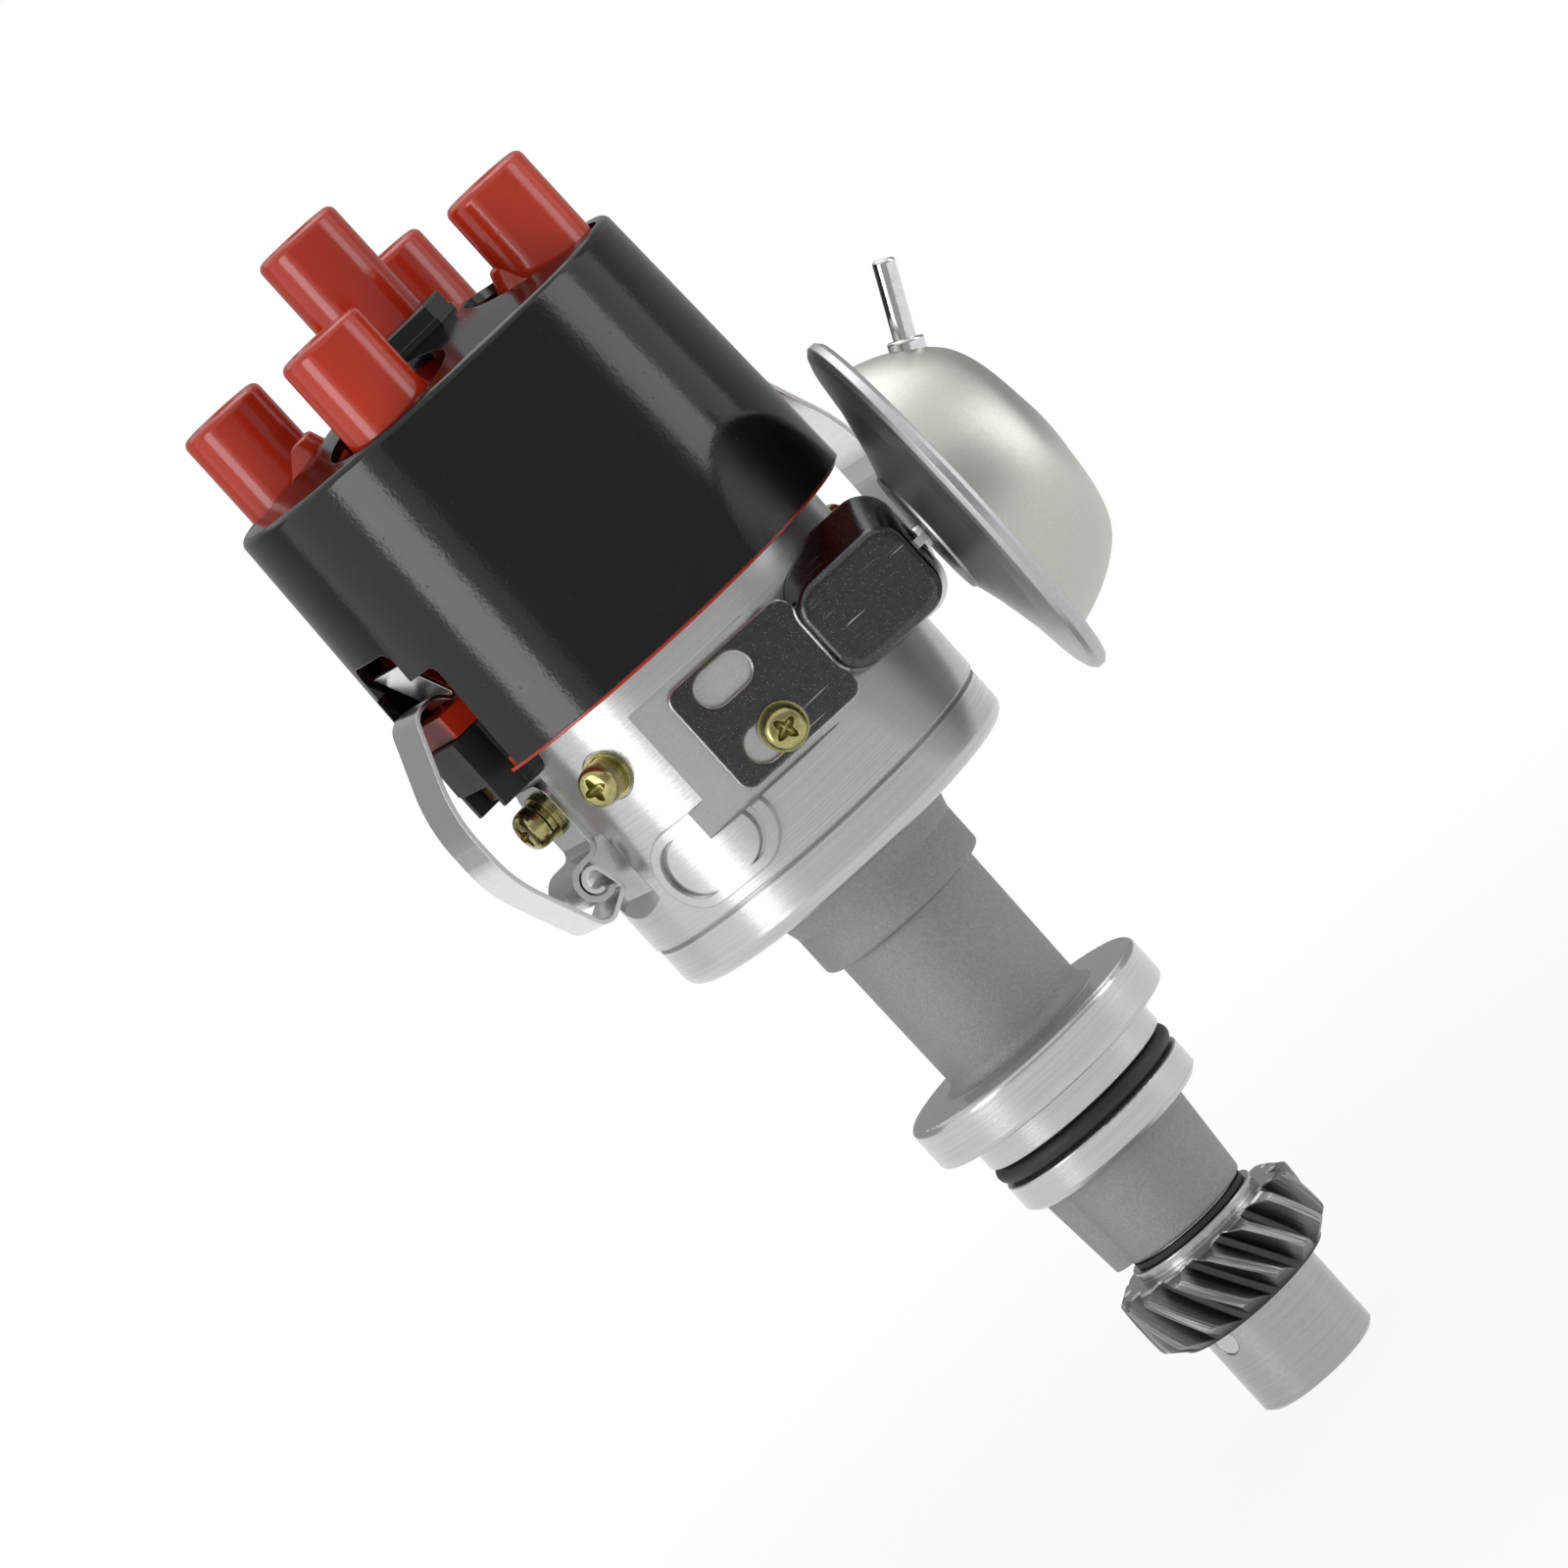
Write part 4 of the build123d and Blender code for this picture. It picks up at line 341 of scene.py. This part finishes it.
# Housing: lathe-turned bowl, flange and pilot, sand-cast shank and barrel; a painted dark line runs along the turned
# edges in place of their dark edge reflections
housingFinish = {
    "turned": (0.60, 0.60, 0.60, 1), "turnedDark": (0.52, 0.52, 0.52, 1),
    "cast": (0.345, 0.345, 0.345, 1), "castDark": (0.295, 0.295, 0.295, 1),
    # the edge colour is a painted dark line along the turned edges, a painted reflection
    "edge": (0.16, 0.16, 0.16, 1), "castLow": 0.0084, "castTop": 0.0517, "barrelTop": -0.0156,
}


def housingMaterial(s):
    material, tree, shader = newMaterial("housingAluminium", Metallic=0.75)
    rings = useGroup(tree, turningGroup, Lines=9000.0)
    grain = useGroup(tree, grainGroup, Scale=2100.0)
    parts = tree.add("ShaderNodeSeparateXYZ")
    tree.feed(parts, 0, tree.add("ShaderNodeTexCoord").outputs["Object"])
    z = parts.outputs[2]
    edge = 0.0001
    aboveLow = tree.spread(z, s["castLow"], s["castLow"] + edge)
    belowTop = tree.spread(z, s["castTop"], s["castTop"] - edge)
    shank = tree.math("MULTIPLY", aboveLow, belowTop)
    barrel = tree.spread(z, s["barrelTop"], s["barrelTop"] - edge)
    cast = tree.math("MAXIMUM", shank, barrel)
    turnedColour = tree.blendColour(tree.spread(rings["Rings"], 0.35, 0.65), s["turned"], s["turnedDark"])
    # painted shade: the turned parts are blended towards the dark edge colour where a face turns a corner
    turnedColour = tree.blendColour(tree.math("MULTIPLY", paintedEdgeMask(tree, 0.0006), 0.6), turnedColour, s["edge"])
    castColour = tree.blendColour(tree.spread(grain["Grain"], 0.35, 0.65), s["cast"], s["castDark"])
    tree.feed(shader, "Base Color", tree.blendColour(cast, turnedColour, castColour))
    turnedRough = tree.spread(rings["Rings"], 0.3, 0.7, 0.16, 0.26)
    castRough = tree.spread(grain["Grain"], 0.3, 0.7, 0.50, 0.62)
    rough = tree.add("ShaderNodeMix", data_type="FLOAT")
    tree.feed(rough, 0, cast)
    tree.feed(rough, 2, turnedRough)
    tree.feed(rough, 3, castRough)
    tree.feed(shader, "Roughness", rough.outputs[0])
    height = tree.add("ShaderNodeMix", data_type="FLOAT")
    tree.feed(height, 0, cast)
    tree.feed(height, 2, tree.math("MULTIPLY", rings["Rings"], 0.045))
    tree.feed(height, 3, grain["Grain"])
    addBump(tree, shader, height.outputs[0], 0.00025)
    return material


# Cap and cover: glossy moulded plastics
plasticFinish = {
    "red": (0.60, 0.040, 0.013, 1), "redDeep": (0.52, 0.030, 0.011, 1),
    "black": (0.004, 0.004, 0.0045, 1), "blackWorn": (0.007, 0.007, 0.0075, 1),
    "matteBlack": (0.008, 0.008, 0.008, 1),
}


def glossPlastic(name, colour, shade, roughness, ripple, level):
    material, tree, shader = newMaterial(name)
    shader.inputs["Specular IOR Level"].default_value = level
    grain = useGroup(tree, grainGroup, Scale=420.0)
    marks = useGroup(tree, scratchGroup, Specks=500.0)
    tree.feed(shader, "Base Color", tree.blendColour(tree.spread(grain["Patches"], 0.3, 0.7), colour, shade))
    faintMarks = tree.math("MULTIPLY", marks["Marks"], 0.35)
    faintSpecks = tree.math("MULTIPLY", marks["Specks"], 0.6)
    worn = tree.math("MAXIMUM", faintMarks, faintSpecks)
    tree.feed(shader, "Roughness", tree.spread(worn, 0.0, 1.0, roughness, roughness + 0.25))
    addBump(tree, shader, grain["Grain"], ripple)
    return material


def metal(name, colour, shade, low, high, scale, bump, turned=0.0, marked=0.0, specks=1400.0, edge=0.00022, paintedHighlightRim=0.0):
    material, tree, shader = newMaterial(name, Metallic=1.0)
    grain = useGroup(tree, grainGroup, Scale=scale)
    tone = grain["Grain"]
    if turned:
        tone = useGroup(tree, turningGroup, Lines=turned)["Rings"]
    base = tree.blendColour(tree.spread(tone, 0.35, 0.65), colour, shade)
    rough = tree.spread(tone, 0.3, 0.7, low, high)
    if marked:
        marks = useGroup(tree, scratchGroup, Specks=specks)
        worn = tree.math("MULTIPLY", tree.math("MAXIMUM", marks["Marks"], marks["Specks"]), marked)
        base = tree.blendColour(worn, base, (0.9, 0.9, 0.9, 1))
        rough = tree.math("ADD", rough, tree.math("MULTIPLY", worn, 0.25))
    if paintedHighlightRim:
        # painted highlight: edges are blended towards pale grey where the face turns a corner
        base = tree.blendColour(paintedEdgeMask(tree, paintedHighlightRim), base, (0.85, 0.85, 0.85, 1))
    tree.feed(shader, "Base Color", base)
    tree.feed(shader, "Roughness", rough)
    addBump(tree, shader, tone, bump, edge=edge)
    return material


# Drive gear: dark rough flanks with painted shade towards the tooth roots, bright crests that are worn and also carry
# a painted highlight, a paler turned hub below the teeth
gearFinish = {
    "flank": (0.15, 0.15, 0.15, 1), "paintedValleyShade": (0.07, 0.07, 0.07, 1), "crest": (0.42, 0.42, 0.42, 1),
    "hub": (0.42, 0.42, 0.42, 1), "hubShade": (0.37, 0.37, 0.37, 1),
    "twist": -37.0, "hubTop": -0.0520, "collarLow": -0.0377, "root": 0.0156, "crestStart": 0.0177, "crestEnd": 0.0187,
}


def gearMaterial(s):
    material, tree, shader = newMaterial("gearSteel", Metallic=1.0)
    place = tree.add("ShaderNodeTexCoord").outputs["Object"]
    parts = tree.add("ShaderNodeSeparateXYZ")
    tree.feed(parts, 0, place)
    x, y, z = parts.outputs
    radius = tree.math("SQRT", tree.math("ADD", tree.math("MULTIPLY", x, x), tree.math("MULTIPLY", y, y)))
    grain = useGroup(tree, grainGroup, Scale=1300.0)
    # lines that follow the teeth: noise in the angle less the helix's turn
    angle = tree.math("SUBTRACT", tree.math("ARCTAN2", y, x), tree.math("MULTIPLY", z, s["twist"]))
    along = tree.add("ShaderNodeCombineXYZ")
    tree.feed(along, 0, tree.math("MULTIPLY", angle, 42.0))
    tree.feed(along, 1, tree.math("MULTIPLY", z, 60.0))
    tree.feed(along, 2, tree.math("MULTIPLY", radius, 2600.0))
    lines = tree.noise(along.outputs[0], 1.0, 3.0, 0.6)
    # crests: lighter along the tooth tips, partly wear lines and partly a painted highlight
    worn = tree.math("MULTIPLY", tree.spread(radius, s["crestStart"], s["crestEnd"]), tree.spread(lines, 0.40, 0.62))
    # painted shade: darker towards the tooth roots
    tone = tree.blendColour(tree.spread(radius, s["root"], s["crestStart"]), s["paintedValleyShade"], s["flank"])
    tone = tree.blendColour(worn, tone, s["crest"])
    isHub = tree.spread(z, s["hubTop"] + 0.0002, s["hubTop"] - 0.0001)
    isHub = tree.math("MAXIMUM", isHub, tree.spread(z, s["collarLow"], s["collarLow"] + 0.0001))
    rings = useGroup(tree, turningGroup, Lines=5000.0)
    hubTone = tree.blendColour(tree.spread(rings["Rings"], 0.35, 0.65), s["hub"], s["hubShade"])
    tree.feed(shader, "Base Color", tree.blendColour(isHub, tone, hubTone))
    rough = tree.spread(grain["Grain"], 0.3, 0.7, 0.30, 0.46)
    tree.feed(shader, "Roughness", tree.math("SUBTRACT", rough, tree.math("MULTIPLY", isHub, 0.14)))
    height = tree.math("ADD", tree.math("MULTIPLY", grain["Grain"], 0.5), lines)
    height = tree.math("MULTIPLY", height, tree.math("SUBTRACT", 1.0, tree.math("MULTIPLY", isHub, 0.96)))
    addBump(tree, shader, height, 0.00005, edge=0.0005)
    return material


def dullMaterial(name, colour, shade, low, high, scale, bump):
    material, tree, shader = newMaterial(name)
    grain = useGroup(tree, grainGroup, Scale=scale)
    tree.feed(shader, "Base Color", tree.blendColour(tree.spread(grain["Grain"], 0.35, 0.65), colour, shade))
    tree.feed(shader, "Roughness", tree.spread(grain["Grain"], 0.3, 0.7, low, high))
    addBump(tree, shader, grain["Grain"], bump)
    return material


def grey(value):
    return (value, value, value, 1)


# Each row: name, colour, shade, least and most roughness, grain scale, bump height
dullSettings = {
    "grey_black_plastic": (
        "connectorPlastic", plasticFinish["matteBlack"], grey(0.014), 0.36, 0.5, 2200.0, 0.00003),
    "black_rubber": ("sealRubber", grey(0.012), grey(0.02), 0.45, 0.65, 2500.0, 0.00003),
    "fibre": ("pressedFibre", (0.03, 0.022, 0.018, 1), (0.02, 0.015, 0.012, 1), 0.6, 0.75, 2500.0, 0.00005),
    "carbon": ("brushCarbon", (0.03, 0.03, 0.033, 1), grey(0.05), 0.4, 0.6, 3000.0, 0.00003),
    "felt": ("oilFelt", (0.45, 0.42, 0.36, 1), (0.33, 0.30, 0.25, 1), 0.9, 1.0, 1800.0, 0.0002),
    "diaphragm_rubber": (
        "diaphragmCloth", (0.03, 0.027, 0.024, 1), (0.05, 0.045, 0.04, 1), 0.6, 0.8, 2500.0, 0.00005),
    "magnet": ("ferrite", (0.05, 0.05, 0.052, 1), grey(0.08), 0.5, 0.7, 2000.0, 0.00004),
    "copper_coil": ("coilTape", (0.42, 0.16, 0.05, 1), (0.30, 0.10, 0.03, 1), 0.35, 0.55, 1500.0, 0.00006),
}
metalSettings = {
    "sintered_bronze": (
        "bushBronze", (0.50, 0.36, 0.18, 1), (0.40, 0.28, 0.14, 1), 0.35, 0.5, 2500.0, 0.00003),
    "ground_steel": (
        "groundSteel", (0.60, 0.60, 0.61, 1), (0.48, 0.48, 0.49, 1), 0.18, 0.32, 1500.0, 0.00001),
    "sintered_steel": (
        "sinteredSteel", (0.33, 0.33, 0.34, 1), (0.25, 0.25, 0.26, 1), 0.45, 0.6, 2500.0, 0.00005),
    "spring_steel": ("springWire", grey(0.60), grey(0.50), 0.25, 0.4, 2000.0, 0.00001),
    "clip_stainless": (
        "clipStainless", (0.74, 0.74, 0.73, 1), (0.71, 0.71, 0.70, 1), 0.2, 0.26, 700.0, 0.000004),
    "zinc_plate": ("zincPlate", (0.54, 0.55, 0.56, 1), (0.49, 0.50, 0.51, 1), 0.18, 0.26, 900.0, 0.000008),
    "yellow_zinc": (
        "yellowZinc", (0.45, 0.42, 0.19, 1), (0.34, 0.31, 0.13, 1), 0.18, 0.30, 900.0, 0.00001),
    "dome_steel": ("domeSteel", (0.56, 0.56, 0.52, 1), (0.51, 0.51, 0.47, 1), 0.36, 0.44, 2600.0, 0.00003),
    "contact_brass": (
        "contactBrass", (0.72, 0.52, 0.22, 1), (0.60, 0.42, 0.18, 1), 0.2, 0.35, 1600.0, 0.00001),
    "terminal_aluminium": ("terminalAluminium", grey(0.78), grey(0.68), 0.25, 0.4, 1600.0, 0.00001),
}
# Nodes that look unlike the rest of their slot
nodeSettings = {
    "vacuum_nipple": ("nippleChrome", grey(0.72), grey(0.62), 0.08, 0.14, 900.0, 0.00001),
    # the bracket's zinc is painted near black, a painted dark reflection in place of its plain zinc colour
    "vacuum_bracket": (
        "zincPaintedDark", (0.085, 0.087, 0.09, 1), (0.06, 0.062, 0.065, 1), 0.14, 0.22, 1100.0, 0.00001),
    "vacuum_front_shell": (
        "shellZinc", (0.50, 0.51, 0.52, 1), (0.46, 0.47, 0.48, 1), 0.34, 0.40, 900.0, 0.000004),
}
metalExtras = {
    "ground_steel": {"turned": 9000.0},
    "clip_stainless": {"marked": 0.1},
    "zinc_plate": {"marked": 0.2},
    "vacuum_nipple": {"marked": 0.2},
    "vacuum_bracket": {"marked": 0.7, "specks": 3400.0, "edge": 0.0008, "paintedHighlightRim": 0.0006},
    "vacuum_front_shell": {"marked": 0.08, "edge": 0.0004},
}


# Red and black mouldings: colour, shade, roughness, ripple, specular level
def makeFinishes(p):
    made = {
        "turned_aluminium": housingMaterial(housingFinish),
        "gear_steel": gearMaterial(gearFinish),
        "red_plastic": glossPlastic("redPlastic", p["red"], p["redDeep"], 0.16, 0.00002, 0.5),
        "rotor_plastic": glossPlastic("rotorPlastic", p["red"], p["redDeep"], 0.3, 0.00002, 0.5),
        "black_plastic": glossPlastic("coverPlastic", p["black"], p["blackWorn"], 0.12, 0.00004, 0.42),
    }
    made.update({slot: dullMaterial(*row) for slot, row in dullSettings.items()})
    made.update({slot: metal(*row, **metalExtras.get(slot, {})) for slot, row in metalSettings.items()})
    return made


finishes = makeFinishes(plasticFinish)
ownFinish = {name: metal(*row, **metalExtras[name]) for name, row in nodeSettings.items()}
slotOf = {part["node"]: part["material_slot"] for part in frame["record"]["subparts"]}
for nodeName, nodeObject in nodes.items():
    nodeObject.data.materials.clear()
    nodeObject.data.materials.append(ownFinish.get(nodeName, finishes[slotOf[nodeName]]))
print("materials placed")


# Wraps a geometry node tree; the tree's sizes are named inputs
class ShapeTree(Tree):
    def __init__(self, name, sizes):
        group = bpy.data.node_groups.new(name, "GeometryNodeTree")
        super().__init__(group)
        group.interface.new_socket("Geometry", in_out="INPUT", socket_type="NodeSocketGeometry")
        self.keys = {}
        for key in sizes:
            self.keys[key] = group.interface.new_socket(key, in_out="INPUT", socket_type="NodeSocketFloat").identifier
        group.interface.new_socket("Geometry", in_out="OUTPUT", socket_type="NodeSocketGeometry")
        self.given = self.add("NodeGroupInput").outputs
        self.target = self.add("NodeGroupOutput")

    def vector(self, x, y, z):
        node = self.add("ShaderNodeCombineXYZ")
        for index, value in enumerate((x, y, z)):
            self.feed(node, index, value)
        return node.outputs[0]

    def finish(self, geometry, material):
        whole = self.add("GeometryNodeRealizeInstances")
        self.feed(whole, "Geometry", geometry)
        painted = self.add("GeometryNodeSetMaterial")
        self.feed(painted, "Geometry", whole.outputs[0])
        painted.inputs["Material"].default_value = material
        self.feed(self.target, 0, painted.outputs[0])


# Runs a tree over seat points that know which way they face, and keeps the result as a plain mesh
def growMesh(name, tree, sizes, seats, smoothAngle):
    mesh = bpy.data.meshes.new(name + "Seats")
    mesh.from_pydata([seat["place"] for seat in seats], [], [])
    aim = mesh.attributes.new("aim", "FLOAT_VECTOR", "POINT")
    for index, seat in enumerate(seats):
        aim.data[index].vector = seat["aim"]
    turn = mesh.attributes.new("turn", "FLOAT", "POINT")
    for index, seat in enumerate(seats):
        turn.data[index].value = seat["turn"]
    holder = bpy.data.objects.new(name + "Holder", mesh)
    bpy.context.scene.collection.objects.link(holder)
    modifier = holder.modifiers.new(name, "NODES")
    modifier.node_group = tree.tree
    for key, value in sizes.items():
        modifier[tree.keys[key]] = value
    shaped = holder.evaluated_get(bpy.context.evaluated_depsgraph_get())
    plain = bpy.data.meshes.new_from_object(shaped)
    holder.modifiers.remove(modifier)
    bpy.data.objects.remove(holder)
    plain.name = name
    plain.shade_smooth()
    plain.set_sharp_from_angle(angle=radians(smoothAngle))
    grown = bpy.data.objects.new(name, plain)
    bpy.context.scene.collection.objects.link(grown)
    return grown


# Pan-head screws with a cross recess that tapers inwards
screwSettings = {
    "sizes": {
        "Head radius": 0.00378, "Head height": 0.00318, "Recess reach": 0.00235, "Recess width": 0.00085,
        "Recess depth": 0.0021,
    },
    "seats": [
        {"place": (0.0054, -0.03758, 0.0786), "aim": (0, -1, 0), "turn": 0.35},
        {"place": (-0.022917, -0.030412, 0.0914), "aim": (-0.6018, -0.7986, 0), "turn": 0.9},
        {"place": (0.034625, 0.017642, 0.0918), "aim": (0.891, 0.454, 0), "turn": 0.2},
        {"place": (-0.03603, -0.014557, 0.0918), "aim": (-0.9272, -0.3746, 0), "turn": 0.6},
    ],
}


def buildScrewHeads(s, material):
    tree = ShapeTree("crossPanScrews", s["sizes"])
    ball = tree.add("GeometryNodeMeshUVSphere")
    for key, value in (("Segments", 56), ("Rings", 36), ("Radius", 1.0)):
        tree.feed(ball, key, value)
    parts = tree.add("ShaderNodeSeparateXYZ")
    tree.feed(parts, 0, tree.add("GeometryNodeInputPosition").outputs[0])
    x, y, z = parts.outputs
    squares = tree.math("ADD", tree.math("MULTIPLY", x, x), tree.math("MULTIPLY", y, y))
    reach = tree.math("MAXIMUM", tree.math("SQRT", squares), 0.00001)
    swell = tree.math("MULTIPLY", tree.math("POWER", reach, -0.6), tree.given["Head radius"])
    rise = tree.math("MULTIPLY", tree.math("POWER", tree.math("MAXIMUM", z, 0.0), 0.62), tree.given["Head height"])
    shaped = tree.add("GeometryNodeSetPosition")
    tree.feed(shaped, "Geometry", ball.outputs["Mesh"])
    tree.feed(shaped, "Position", tree.vector(tree.math("MULTIPLY", x, swell), tree.math("MULTIPLY", y, swell), rise))
    cut = tree.add("GeometryNodeMeshBoolean", operation="DIFFERENCE", solver="EXACT")
    tree.feed(cut, "Mesh 1", shaped.outputs[0])
    for wide, deep in (("Recess reach", "Recess width"), ("Recess width", "Recess reach")):
        blade = tree.add("GeometryNodeMeshUVSphere")
        for key, value in (("Segments", 32), ("Rings", 24), ("Radius", 1.0)):
            tree.feed(blade, key, value)
        put = tree.add("GeometryNodeTransform")
        tree.feed(put, "Geometry", blade.outputs["Mesh"])
        tree.feed(put, "Translation", tree.vector(0.0, 0.0, tree.given["Head height"]))
        tree.feed(put, "Scale", tree.vector(tree.given[wide], tree.given[deep], tree.given["Recess depth"]))
        tree.tree.links.new(put.outputs[0], cut.inputs["Mesh 2"])
    facing = tree.add("FunctionNodeAlignRotationToVector", axis="Z")
    aim = tree.add("GeometryNodeInputNamedAttribute", data_type="FLOAT_VECTOR")
    tree.feed(aim, "Name", "aim")
    tree.feed(facing, "Vector", aim.outputs["Attribute"])
    turn = tree.add("GeometryNodeInputNamedAttribute", data_type="FLOAT")
    tree.feed(turn, "Name", "turn")
    spun = tree.add("FunctionNodeRotateRotation", rotation_space="LOCAL")
    tree.feed(spun, "Rotation", facing.outputs[0])
    tree.feed(spun, "Rotate By", tree.vector(0.0, 0.0, turn.outputs["Attribute"]))
    points = tree.add("GeometryNodeMeshToPoints")
    tree.feed(points, "Mesh", tree.given["Geometry"])
    placed = tree.add("GeometryNodeInstanceOnPoints")
    tree.feed(placed, "Points", points.outputs[0])
    tree.feed(placed, "Instance", cut.outputs["Mesh"])
    tree.feed(placed, "Rotation", spun.outputs[0])
    tree.finish(placed.outputs[0], material)
    return tree


screwTree = buildScrewHeads(screwSettings, finishes["yellow_zinc"])
screwHeads = growMesh("screwHeads", screwTree, screwSettings["sizes"], screwSettings["seats"], 45)
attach(screwHeads, "housing")
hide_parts("pan_screws")
print("screw heads made:", len(screwHeads.data.polygons), "faces")

# Floor: plain and pale, just under the gear's hub
floorSettings = {
    "half": 4.0, "gap": 0.0004, "white": 0.88, "shadeStart": 0.10, "shadeEnd": 0.45,
    "paint": (0.92, 0.92, 0.92, 1), "paintPale": (0.95, 0.95, 0.95, 1),
}


# Near the part the floor keeps some of its own shade, so the shadow shows; further out it is plain white
def buildFloor(tree, shader, s):
    grain = useGroup(tree, grainGroup, Scale=12.0)
    tree.feed(shader, "Base Color", tree.blendColour(grain["Grain"], s["paint"], s["paintPale"]))
    path = tree.add("ShaderNodeLightPath").outputs
    seen = tree.math("MAXIMUM", path["Is Camera Ray"], path["Is Glossy Ray"])
    seen = tree.math("MAXIMUM", seen, path["Is Transmission Ray"])
    place = tree.add("ShaderNodeVectorMath", operation="LENGTH")
    tree.feed(place, 0, tree.add("ShaderNodeTexCoord").outputs["Object"])
    far = tree.spread(place.outputs["Value"], s["shadeStart"], s["shadeEnd"], s["white"], 1.0)
    glow = tree.add("ShaderNodeEmission")
    mix = tree.add("ShaderNodeMixShader")
    tree.feed(mix, 0, tree.math("MULTIPLY", seen, far))
    tree.feed(mix, 1, shader.outputs[0])
    tree.feed(mix, 2, glow.outputs[0])
    out = tree.tree.nodes["Material Output"]
    tree.feed(out, "Surface", mix.outputs[0])


def makeFloor(s):
    low = cadBox[0][2] - s["gap"]
    h = s["half"]
    mesh = bpy.data.meshes.new("floor")
    mesh.from_pydata([(-h, -h, low), (h, -h, low), (h, h, low), (-h, h, low)], [], [(0, 1, 2, 3)])
    floor = bpy.data.objects.new("floor", mesh)
    bpy.context.scene.collection.objects.link(floor)
    material, tree, shader = newMaterial("floorPaint", Roughness=0.9)
    buildFloor(tree, shader, s)
    mesh.materials.append(material)


makeFloor(floorSettings)
